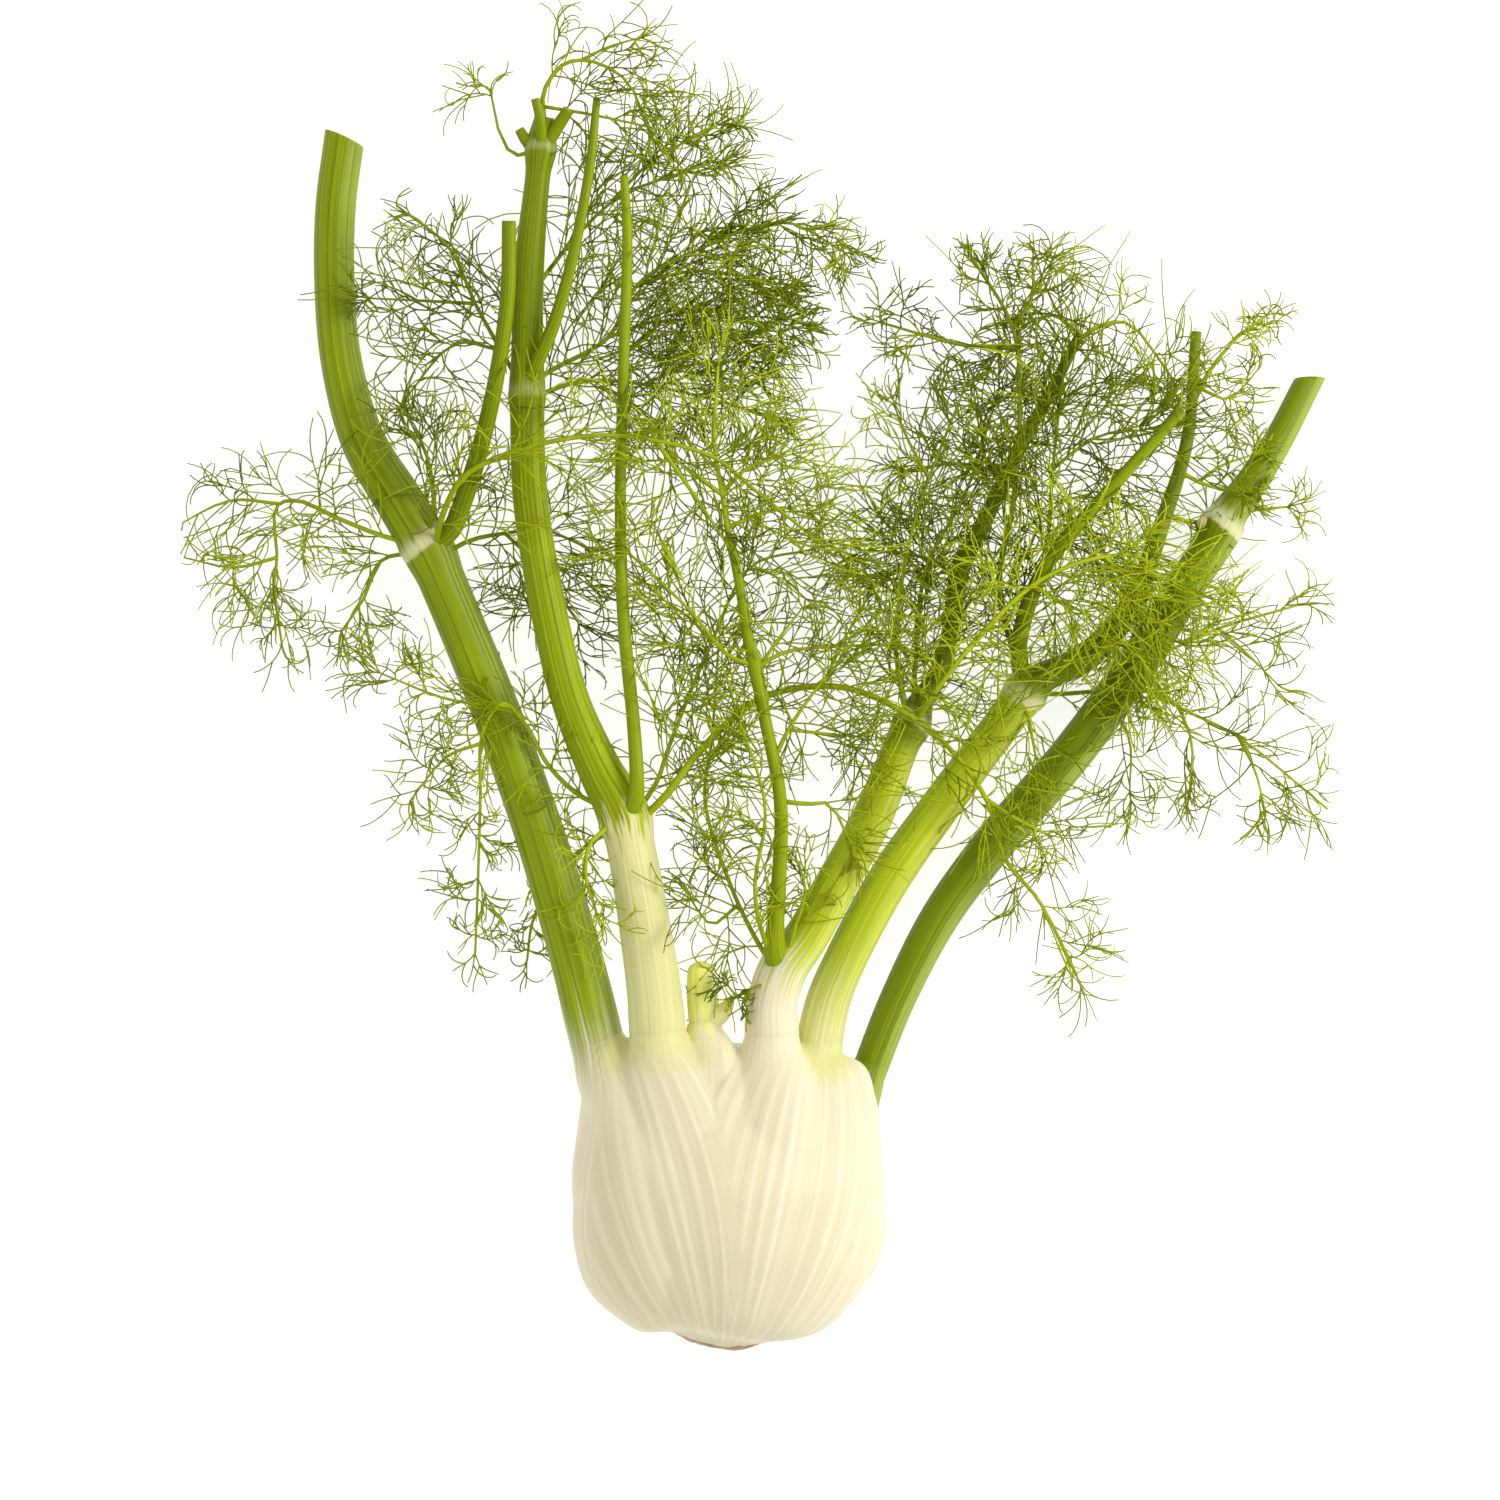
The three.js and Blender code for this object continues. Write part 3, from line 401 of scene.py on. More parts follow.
def plant_material(name, roughness, scatter, scatter_scale, streak_scale, streak_strength, bump, pale_share):
    """Plant skin: the vertices' colours, with fine streaks along the UV's length and a little light inside.

    pale_share is how much of the streaks is left where the skin is pale.
    """
    material, tree, shader = new_material(name)
    nodes, links = tree.nodes, tree.links
    tint = nodes.new("ShaderNodeVertexColor")
    tint.layer_name = "tint"
    uv = nodes.new("ShaderNodeUVMap")
    stretch = nodes.new("ShaderNodeMapping")
    stretch.inputs["Scale"].default_value = streak_scale
    streaks = nodes.new("ShaderNodeTexNoise")
    streaks.inputs["Scale"].default_value = 1.0
    streaks.inputs["Detail"].default_value = 4.0
    links.new(uv.outputs["UV"], stretch.inputs["Vector"])
    links.new(stretch.outputs["Vector"], streaks.inputs["Vector"])
    spread = nodes.new("ShaderNodeMapRange")
    spread.inputs["From Min"].default_value = 0.3
    spread.inputs["From Max"].default_value = 0.7
    spread.inputs["To Min"].default_value = 1.0 - streak_strength
    spread.inputs["To Max"].default_value = 1.0 + streak_strength
    links.new(streaks.outputs["Fac"], spread.inputs["Value"])
    channels = nodes.new("ShaderNodeSeparateColor")
    links.new(tint.outputs["Color"], channels.inputs["Color"])
    paleness = nodes.new("ShaderNodeMapRange")
    paleness.inputs["From Min"].default_value = 0.05
    paleness.inputs["From Max"].default_value = 0.45
    links.new(channels.outputs["Blue"], paleness.inputs["Value"])
    plain = nodes.new("ShaderNodeMapRange")
    plain.inputs["To Max"].default_value = 1.0 - pale_share
    links.new(paleness.outputs["Result"], plain.inputs["Value"])
    streak = nodes.new("ShaderNodeMix")
    streak.inputs["B"].default_value = 1.0
    links.new(plain.outputs["Result"], streak.inputs["Factor"])
    links.new(spread.outputs["Result"], streak.inputs["A"])
    shade = nodes.new("ShaderNodeVectorMath")
    shade.operation = "SCALE"
    links.new(tint.outputs["Color"], shade.inputs[0])
    links.new(streak.outputs["Result"], shade.inputs["Scale"])
    links.new(shade.outputs["Vector"], shader.inputs["Base Color"])
    relief = nodes.new("ShaderNodeBump")
    relief.inputs["Strength"].default_value = bump
    relief.inputs["Distance"].default_value = 0.0002
    links.new(streaks.outputs["Fac"], relief.inputs["Height"])
    links.new(relief.outputs["Normal"], shader.inputs["Normal"])
    shader.inputs["Roughness"].default_value = roughness
    shader.inputs["Specular IOR Level"].default_value = 0.15
    shader.inputs["Subsurface Weight"].default_value = scatter
    shader.inputs["Subsurface Radius"].default_value = (1.0, 0.8, 0.35)
    shader.inputs["Subsurface Scale"].default_value = scatter_scale
    return material


def frond_material():
    """Thread-like leaf segments: the vertices' colours, a soft sheen and a fine variation."""
    material, tree, shader = new_material("frond")
    nodes, links = tree.nodes, tree.links
    tint = nodes.new("ShaderNodeVertexColor")
    tint.layer_name = "tint"
    place = nodes.new("ShaderNodeTexCoord")
    mottle = nodes.new("ShaderNodeTexNoise")
    mottle.inputs["Scale"].default_value = 900.0
    mottle.inputs["Detail"].default_value = 2.0
    links.new(place.outputs["Object"], mottle.inputs["Vector"])
    spread = nodes.new("ShaderNodeMapRange")
    spread.inputs["To Min"].default_value = 0.8
    spread.inputs["To Max"].default_value = 1.2
    links.new(mottle.outputs["Fac"], spread.inputs["Value"])
    shade = nodes.new("ShaderNodeVectorMath")
    shade.operation = "SCALE"
    links.new(tint.outputs["Color"], shade.inputs[0])
    links.new(spread.outputs["Result"], shade.inputs["Scale"])
    links.new(shade.outputs["Vector"], shader.inputs["Base Color"])
    shader.inputs["Roughness"].default_value = 0.55
    shader.inputs["Specular IOR Level"].default_value = 0.15
    shader.inputs["Subsurface Weight"].default_value = 0.1
    shader.inputs["Subsurface Radius"].default_value = (0.8, 1.0, 0.3)
    shader.inputs["Subsurface Scale"].default_value = 0.0005
    return material


# Stalks

CREAM = linear(236, 227, 192)
YELLOW_CREAM = linear(226, 222, 156)
PALE_GREEN = linear(218, 221, 100)
STUB_GREEN = linear(242, 244, 124)
JOINT = linear(232, 228, 178)
KNOB = linear(222, 206, 150)
SPECK = linear(140, 96, 40)
MID_GREEN = linear(158, 174, 0)
STEM_GREEN = linear(152, 168, 8)
DEEP_GREEN = linear(104, 120, 0)
GREY_GREEN = linear(176, 192, 88)
SHADE_GREEN = linear(84, 100, 0)
OLIVE_GREEN = linear(132, 148, 0)
LIGHT_GREEN = linear(180, 196, 34)
CUT = linear(206, 212, 132)

RIB_COUNTS = [(31, 1.0), (23, 0.6), (47, 0.6), (13, 0.3), (64, 0.3)]
RIB_DEPTH = 0.018
COLLAR_RISE = 4.0
COLLAR_FALL = 1.2
LINE_SPACING = 0.3
LINE_WIDTH = 0.045
SPECK_PLACE = 3.6
SPECK_REACH = 0.9
REST_HEIGHT = 0.05
UPPER_FADE = 12.0


def tube_mesh(route, sides, rib_depth, seed, cap_end=True, slant=0.0, dish=0.03):
    """Vertices, faces, angles and lengths of a ribbed tube. slant leans its far end's cut, in mm for each mm."""
    rings = len(route.centres)
    angles = (np.arange(sides) + 0.5) * 2 * math.pi / sides
    ripple = waves(angles, seed, RIB_COUNTS)
    grow = 1 + rib_depth * ripple
    across = np.cos(angles) * grow
    height = np.sin(angles) * grow
    points = (route.centres[:, None, :]
              + route.side[:, None, :] * (route.halves[:, 0][:, None] * across)[..., None]
              + route.top[:, None, :] * (route.halves[:, 1][:, None] * height)[..., None])
    if slant:
        lean = np.linspace(0, 1, rings) ** 12
        shift = lean[:, None] * slant * (route.halves[:, 0][:, None] * across)
        points += route.forward[:, None, :] * shift[..., None]
    vertices = [points.reshape(-1, 3)]
    around = np.tile(angles, rings)
    along = np.repeat(route.lengths, sides)
    ring = np.arange(rings - 1)[:, None] * sides
    corner = np.arange(sides)[None, :]
    following = (corner + 1) % sides
    faces = np.stack([ring + corner, ring + sides + corner, ring + sides + following, ring + following],
                     axis=-1).reshape(-1, 4).tolist()
    end_marks = [np.zeros(rings * sides)]
    for last, flip in ((False, False), (True, True)):
        if last and not cap_end:
            continue
        outer = points[-1] if last else points[0]
        start = (rings - 1) * sides if last else 0
        centre = outer.mean(axis=0)
        direction = route.forward[-1] if last else -route.forward[0]
        previous = start
        for share in (0.9, 0.6, 0.3):
            inner = centre + (outer - centre) * share - direction * dish * (1 - share) * route.halves[0, 0]
            base = sum(len(block) for block in vertices)
            vertices.append(inner)
            around = np.concatenate([around, angles])
            along = np.concatenate([along, np.full(sides, route.lengths[-1 if last else 0])])
            end_marks.append(np.full(sides, 1.0 if last else 0.0))
            for k in range(sides):
                n = (k + 1) % sides
                quad = [previous + k, base + k, base + n, previous + n]
                faces.append(quad if flip else quad[::-1])
            previous = base
        middle = [previous + k for k in range(sides)]
        faces.append(middle if flip else middle[::-1])
    return np.vstack(vertices), faces, around, along, np.concatenate(end_marks), ripple


def set_uvs(piece, around, along, width):
    """UVs in which one unit is one mm along, and a turn is the tube's width round."""
    layer = piece.data.uv_layers.new(name="UVMap")
    loops = np.empty(len(piece.data.loops), dtype=int)
    piece.data.loops.foreach_get("vertex_index", loops)
    pairs = np.stack([np.cos(around[loops]) * 0 + around[loops] * width / 2, along[loops]], axis=-1)
    layer.data.foreach_set("uv", pairs.ravel())


def joined_tubes(parts):
    """Joins (vertices, faces, arrays...) of several tubes into one set."""
    vertices = []
    faces = []
    extras = [[] for _ in parts[0][2:]]
    base = 0
    for part in parts:
        vertices.append(part[0])
        faces += [[index + base for index in face] for face in part[1]]
        for store, array in zip(extras, part[2:]):
            store.append(array)
        base += len(part[0])
    return [np.vstack(vertices), faces, *[np.concatenate(store) for store in extras]]


def collared(route, collars, round_end):
    """Swells a stalk just below each of its joints, and rounds its far end over the last round_end mm."""
    grow = np.ones(len(route.lengths))
    for place, share in collars:
        reach = np.where(route.lengths < place, COLLAR_RISE, COLLAR_FALL)
        grow += share * np.exp(-((route.lengths - place) / reach) ** 2)
    if round_end:
        depth = np.clip((route.lengths - route.lengths[-1] + round_end) / round_end, 0, 0.97)
        grow *= np.sqrt(1 - depth ** 2)
    route.halves = route.halves * grow[:, None]


def stalk_tube(rows, sides, seed, colour_rule, sink=0.0, slant=0.0, plump=1.0, collars=(), round_end=0.0,
               detail=0.6):
    """One tube of a stalk with its colours. sink starts it that far down inside what it grows from."""
    rows = [rows[0], *([*row[:3], row[3] * plump] for row in rows[1:])]
    if sink:
        first = np.array(rows[0][:3], float)
        back = unit(first - np.array(rows[1][:3], float)) * sink
        rows.insert(0, [*(first + back), rows[0][3] * 0.9])
    span = np.linalg.norm(np.diff(np.array([row[:3] for row in rows]), axis=0), axis=1).sum()
    route = Route(rows, max(12, int(span * detail)))
    collared(route, [(place + sink, share) for place, share in collars], round_end)
    vertices, faces, around, along, ends, ripple = tube_mesh(route, sides, RIB_DEPTH, seed, slant=slant)
    angles = (np.arange(sides) + 0.5) * 2 * math.pi / sides
    ribs = np.interp(around, angles, ripple)
    vertices[:, 2] = np.maximum(vertices[:, 2], REST_HEIGHT)
    colours = colour_rule(around, along - sink, ribs)
    colours = mixed(colours, CUT, ends * (0.0 if round_end else 0.9))
    return vertices, faces, around, along - sink, colours


def streaky_green(dark, base, light, fade_start, fade_end, root=CREAM, joints=(), joint_share=0.78,
                  upper=None, seed=1):
    """A rule that colours a stalk: root colour at the foot, streaks of green above it, pale at its joints, with a
    painted highlight down the side towards the key light and painted shade down the far side.
    """
    def rule(around, along, ribs):
        streak = waves(around, seed + 7, [(13, 1.0), (7, 0.8), (23, 0.7), (31, 0.4)])
        fine = waves(around, seed + 8, [(37, 1.0), (53, 0.8), (71, 0.6)])
        lines = ridges(around, seed + 9, LINE_SPACING, LINE_WIDTH)
        green = mixed(base, dark, 0.12 - 0.35 * streak + 0.2 * fine - 0.2 * ribs + 0.55 * lines)
        # Painted light: edge is a painted highlight on the side towards the key light, and shaded is painted shade
        # on the far side.
        edge = smoothstep(0.4, 0.9, np.cos(around - 0.3))
        shaded = smoothstep(0.5, 1.0, -np.cos(around))
        green = mixed(green, dark, 0.3 * shaded)
        green = mixed(green, light, 0.6 * edge * (1 - 0.6 * lines) + 0.12 * ribs + 0.1 * fine)
        if upper:
            place, share = upper
            green = mixed(green, DEEP_GREEN, share * smoothstep(place, place + UPPER_FADE, along))
        reach = along + 9 * streak + 6 * fine
        colours = mixed(root, green, smoothstep(fade_start, fade_end, reach))
        for place, width in joints:
            above = along - place + 0.25 * width * np.cos(around + seed) + 0.4 * streak
            ring = smoothstep(-0.9, 0.2, above) * (1 - smoothstep(0.25 * width, width * (1.2 + 0.5 * streak), above))
            colours = mixed(colours, JOINT, (joint_share + 0.15 * fine) * ring)
        return colours
    return rule


def stalk_piece(name, material, tubes, width):
    vertices, faces, around, along, colours = joined_tubes(tubes)
    piece = make_piece(name + "_skin", vertices, faces, name, material)
    set_colours(piece, colours)
    set_uvs(piece, around, along, width)
    return piece


def knob_rule(around, along, ribs):
    """Pale tan with one brown speck on top."""
    speck = np.exp(-((along - SPECK_PLACE) / SPECK_REACH) ** 2) * smoothstep(0.3, 0.9, np.sin(around))
    return mixed(mixed(KNOB, JOINT, 0.3 * ribs), SPECK, 0.75 * speck)


LEFT_RULE = streaky_green(DEEP_GREEN, MID_GREEN, GREY_GREEN, -16, 14, joints=((157, 5.0),), upper=(120, 0.2), seed=3)
TALL_RULE = streaky_green(DEEP_GREEN, MID_GREEN, LIGHT_GREEN, 62, 66, root=YELLOW_CREAM,
                          joints=((195, 4.5), (269, 3.5)), joint_share=0.24, upper=(180, 0.5), seed=8)
STUB_RULE = streaky_green(PALE_GREEN, STUB_GREEN, JOINT, -3, 8, seed=9)
INNER_RULE = streaky_green(MID_GREEN, LIGHT_GREEN, PALE_GREEN, 12, 32, joints=((103, 4),), upper=(92, 0.85), seed=13)
RIGHT_RULE = streaky_green(MID_GREEN, LIGHT_GREEN, PALE_GREEN, -6, 34, root=YELLOW_CREAM, joints=((121, 7),),
                           upper=(118, 0.85), seed=17)
OUTER_RULE = streaky_green(SHADE_GREEN, OLIVE_GREEN, GREY_GREEN, -24, -8, joints=((195, 6.0),), seed=19)
THIN_RULE = streaky_green(DEEP_GREEN, STEM_GREEN, MID_GREEN, -6, 2, root=MID_GREEN, seed=5)
DARK_RULE = streaky_green(SHADE_GREEN, OLIVE_GREEN, MID_GREEN, -6, 2, root=OLIVE_GREEN, seed=6)
LEFT_PLUMP = 1.07

# Where each stalk's foot meets the bulb: its rows, the seed of its ribs, its colours, and how far down into the
# bulb its colours reach
FEET = {
    "left": (LEFT_STALK, 11, LEFT_RULE, 18.0),
    "tall": (TALL_STALK, 21, TALL_RULE, 2.0),
    "inner": (STUB, 31, STUB_RULE, 2.0),
    "centre_right": (INNER_STALK, 41, INNER_RULE, 4.0),
    "right": (RIGHT_STALK, 51, RIGHT_RULE, 4.0),
    "outer": (OUTER_STALK, 61, OUTER_RULE, 24.0),
}


def build_stalks(skin):
    stalk_piece("stalk_left", skin, [
        stalk_tube(LEFT_STALK, 160, 11, LEFT_RULE, sink=12, slant=-0.32, plump=LEFT_PLUMP,
                   collars=((160, 0.05),)),
        stalk_tube(LEFT_SIDE_STEM, 48, 12, DARK_RULE, sink=3),
    ], 14)
    stalk_piece("stalk_tall", skin, [
        stalk_tube(TALL_STALK, 120, 21, TALL_RULE, sink=12, collars=((64, 0.05), (196, 0.06), (271, 0.06))),
        *(stalk_tube(rows, 24, 24, DARK_RULE, sink=2, detail=1.5) for rows in TALL_SHORT_STEMS),
        stalk_tube(TALL_FRONT_STEM, 48, 22, THIN_RULE, sink=3),
        stalk_tube(TALL_TOP_STEM, 48, 23, DARK_RULE, sink=3),
    ], 14)
    stalk_piece("stub", skin, [
        stalk_tube(STUB, 72, 31, STUB_RULE, sink=6, round_end=2.2, plump=1.15, detail=2.4),
        stalk_tube([*STUB_BUD, [2.6, 59.4, 41.6, 1.0]], 48, 32, STUB_RULE, sink=2, round_end=3.0, detail=3),
    ], 8)
    stalk_piece("stalk_inner", skin, [
        stalk_tube(INNER_STALK, 104, 41, INNER_RULE, sink=12, collars=((104, 0.06),)),
        stalk_tube(INNER_UPRIGHT_STEM, 48, 42, THIN_RULE, sink=3, collars=((95, 0.12),)),
    ], 12)
    stalk_piece("stalk_right", skin, [
        stalk_tube(RIGHT_STALK, 104, 51, RIGHT_RULE, sink=12, collars=((125, 0.06),)),
        stalk_tube(RIGHT_SIDE_STEM, 48, 52, DARK_RULE, sink=3),
    ], 12)
    stalk_piece("stalk_outer", skin, [
        stalk_tube(OUTER_STALK, 104, 61, OUTER_RULE, sink=10, slant=0.53, collars=((198, 0.06),)),
        stalk_tube(OUTER_KNOB, 32, 62, knob_rule, round_end=2.5, detail=3),
    ], 12)


# The bulb

VOXEL = 0.65 * MM
SMOOTH_PASSES = 17
REGROWTH = 0.36
RIDGE_SPACING = 0.16
RIDGE_WIDTH = 0.022
RIDGE_HEIGHT = 0.16
FINE_RELIEF = 0.05
EDGE_STEP = 0.4
SHEATH_SHADE = linear(217, 207, 171)
RIB_LIGHT = linear(252, 245, 222)
TAN = linear(222, 196, 150)
CORK = linear(190, 140, 76)
CORK_DARK = linear(132, 86, 38)

# The ribs of the leaf bases on each half of the bulb fan from a point above the necks to a point below the root
LEFT_FAN = ((-33, 62), (-3, -55))
RIGHT_FAN = ((26, 62), (3, -55))
INNER_FAN = ((-5, 62), (-3, -55))
LEFT_EDGE = [[-11, 47], [-10.5, 42], [-7.5, 38], [-4.5, 32], [-3.2, 28], [-1, 14], [2, -4], [5, -22], [5, -50]]
RIGHT_EDGE = [[6.5, 47], [6, 44], [2, 37], [-2, 31], [-3.4, 28], [-3, 14], [0, -4], [3, -22], [3, -50]]

# The root plate, an oval on the root end: its middle, half its width and height, and how deep it lies
PLATE_X = -2.5
PLATE_Z = 31.5
PLATE_WIDE = 15.5
PLATE_HIGH = 10.5
PLATE_DEPTH = 0.35

# The line that the ribs of the steep sides turn about
AXIS_X = 0.0
AXIS_Z = 32.0

# How a leaf base's neck ends inside its stalk: its size at the foot of the stalk and a little above it
NECK_SHARE = 0.98
NECK_TIP_SHARE = 0.9
NECK_REACH = 4.0


def tucked(name, rows):
    """A leaf base's rows, with its neck drawn in so that it ends inside its stalk."""
    if name == "middle":
        return rows
    last = np.array(rows[-1], float)
    onward = unit(last[:3] - np.array(rows[-2][:3], float)) * NECK_REACH
    neck = [*last[:3], *(last[3:] * NECK_SHARE)]
    tip = [*(last[:3] + onward), *(last[3:] * NECK_TIP_SHARE)]
    return [*rows[:-1], neck, tip]


def raw_bulb():
    """The leaf bases as overlapping smooth tubes, joined and remeshed into one skin."""
    parts = []
    for name, rows in SHEATHS.items():
        route = Route(tucked(name, rows), 60)
        vertices, faces, around, *_ = tube_mesh(route, 72, 0.0, 1)
        parts.append((vertices, faces, around))
    vertices, faces, _ = joined_tubes(parts)
    mesh = bpy.data.meshes.new("raw_bulb")
    mesh.from_pydata((vertices * MM).tolist(), [], faces)
    mesh.update()
    raw = bpy.data.objects.new("raw_bulb", mesh)
    bpy.context.collection.objects.link(raw)
    remesh = raw.modifiers.new("remesh", "REMESH")
    remesh.mode = "VOXEL"
    remesh.voxel_size = VOXEL
    smooth = raw.modifiers.new("smooth", "SMOOTH")
    smooth.iterations = SMOOTH_PASSES
    smooth.factor = 0.5
    shape = raw.evaluated_get(bpy.context.evaluated_depsgraph_get()).to_mesh()
    points = np.empty(len(shape.vertices) * 3)
    shape.vertices.foreach_get("co", points)
    faces = [list(face.vertices) for face in shape.polygons]
    raw.to_mesh_clear()
    bpy.data.objects.remove(raw)
    bpy.data.meshes.remove(mesh)
    return points.reshape(-1, 3) / MM, faces


def vertex_normals(points, faces):
    corners = np.array(faces)
    a, b, c, d = (points[corners[:, k]] for k in range(4))
    normal = np.cross(c - a, d - b)
    total = np.zeros_like(points)
    for k in range(4):
        np.add.at(total, corners[:, k], normal)
    return unit(total)


def fan_turn(points, fan):
    """The angle that tells the curved lines of a fan apart: 0 on its axis, growing to both sides."""
    top = np.array(fan[0], float) - points[:, :2]
    foot = np.array(fan[1], float) - points[:, :2]
    cross = top[:, 0] * foot[:, 1] - top[:, 1] * foot[:, 0]
    dot = np.einsum("pi,pi->p", top, foot)
    angle = np.arctan2(cross, dot)
    return np.sign(angle) * (np.pi - np.abs(angle))


def edge_side(points, edge):
    """How far a point lies to the right of a leaf base's edge, in mm."""
    rows = np.array(edge[::-1], float)
    return points[:, 0] - np.interp(points[:, 1], rows[:, 1], rows[:, 0])


def at_feet(points):
    """For each stalk, how near its foot each point of the bulb lies, and its angle and place along the stalk."""
    for rows, seed, rule, depth in FEET.values():
        first, second = (np.array(row[:3], float) for row in rows[:2])
        forward = unit(second - first)
        side = unit(np.cross(forward, [0, 0, 1]))
        top = np.cross(side, forward)
        offset = points - first
        along = offset @ forward
        across, height = offset @ side, offset @ top
        reach = np.hypot(across, height) / (rows[0][3] / 2)
        limit = 1.3 + 0.05 * np.clip(-along, 0, 30)
        inside = 1 - smoothstep(limit, limit + 0.6, reach)
        near = smoothstep(-13, -2, along) * inside
        tinted = smoothstep(-depth - 14, -depth, along) * inside
        yield near, tinted, np.arctan2(height, across) % (2 * math.pi), along, seed, rule, rows[0][3] / 2


def build_bulb(skin):
    points, faces = raw_bulb()
    normals = vertex_normals(points, faces)
    behind = np.where(points[:, 2] > 30, 0.0, 0.07)
    left_gap = edge_side(points, LEFT_EDGE)
    right_gap = edge_side(points, RIGHT_EDGE)
    blur = 0.6 + 4.0 * (1 - smoothstep(18, 32, points[:, 1]))
    on_left = 1 - smoothstep(-blur, blur, left_gap)
    on_right = smoothstep(-blur, blur, right_gap) * (1 - on_left)
    weights = (on_left, 1 - on_left - on_right, on_right)
    flat = smoothstep(0.4, 0.75, np.abs(normals[:, 2]))
    azimuth = np.arctan2(points[:, 2] - AXIS_Z, points[:, 0] - AXIS_X)
    turn = np.zeros(len(points))
    ribs = np.zeros(len(points))
    fine = np.zeros(len(points))
    broad = np.zeros(len(points))
    for index, (fan, weight) in enumerate(zip((LEFT_FAN, INNER_FAN, RIGHT_FAN), weights)):
        angle = fan_turn(points, fan) + behind
        clear = smoothstep(0.4, 0.95, weight) * flat
        turn += weight * flat * angle
        ribs += clear * ridges(angle, 100 + index, RIDGE_SPACING, RIDGE_WIDTH)
        fine += clear * waves(angle, 150 + index, [(71, 1.0), (97, 0.8), (133, 0.6)])
        broad += weight * flat * waves(angle, 200 + index, [(9, 1.0), (5, 0.8), (14, 0.6)])
    turn += (1 - flat) * azimuth
    ribs += (1 - flat) * ridges(azimuth, 110, RIDGE_SPACING, RIDGE_WIDTH)
    fine += (1 - flat) * waves(azimuth, 160, [(71, 1.0), (97, 0.8), (133, 0.6)])
    broad += (1 - flat) * waves(azimuth, 210, [(9, 1.0), (5, 0.8), (14, 0.6)])
    high = smoothstep(16, 34, points[:, 1])
    # Painted shade: a tan darkening along the upper edges where one leaf base lies over the next.
    crease_shade = (np.exp(-(left_gap / 0.9) ** 2) + np.exp(-(right_gap / 0.9) ** 2) * (1 - on_left)) * high
    colours = mixed(CREAM, SHEATH_SHADE, 0.4 - 0.2 * broad - 0.16 * fine)
    colours = mixed(colours, RIB_LIGHT, 0.55 * ribs)
    colours = mixed(colours, TAN, crease_shade * 0.28)
    relief = (RIDGE_HEIGHT * ribs + FINE_RELIEF * fine) * smoothstep(-44, -34, points[:, 1])
    relief += EDGE_STEP * high * (on_left + 0.6 * on_right)
    # Near each stalk's foot the bulb takes that stalk's colours, painted highlight and painted shade included.
    for near, tinted, around, along, seed, rule, half in at_feet(points):
        ripple = waves(around, seed, RIB_COUNTS)
        colours = mixed(colours, rule(around, along, ripple), tinted)
        relief = relief * (1 - near) + near * half * RIB_DEPTH * ripple
    points = points + normals * (relief + REGROWTH)[:, None]
    across = (points[:, 0] - PLATE_X) / PLATE_WIDE
    height = (points[:, 2] - PLATE_Z) / PLATE_HIGH
    bearing = np.arctan2(height, across)
    reach = np.hypot(across, height) + 0.07 * waves(bearing, 301, [(3, 1.0), (5, 0.8), (11, 0.8), (23, 0.6)])
    on_root = smoothstep(-30, -36, points[:, 1])
    cork = smoothstep(1.03, 0.93, reach) * on_root
    blotches = waves(bearing, 302, [(7, 1.0), (13, 0.8), (19, 0.6)]) * np.sin(9 * reach)
    colours = mixed(colours, TAN, smoothstep(1.3, 1.0, reach) * on_root * 0.45)
    colours = mixed(colours, mixed(CORK, CORK_DARK, 0.5 + 0.7 * blotches), cork * 0.9)
    points -= normals * (cork * (PLATE_DEPTH + 0.2 * blotches))[:, None]
    points[:, 2] = np.maximum(points[:, 2], REST_HEIGHT)
    piece = make_piece("bulb_skin", points, faces, "bulb", skin)
    set_colours(piece, colours)
    set_uvs(piece, turn, points[:, 1], 90)
    return piece


# Fronds

THREAD_SIDES = 3
THREAD_STEPS = 6
STEM_SIDES = 6
THREAD_WIDTH = 0.56
THREAD_TIP = 0.75
LOWEST = 0.8
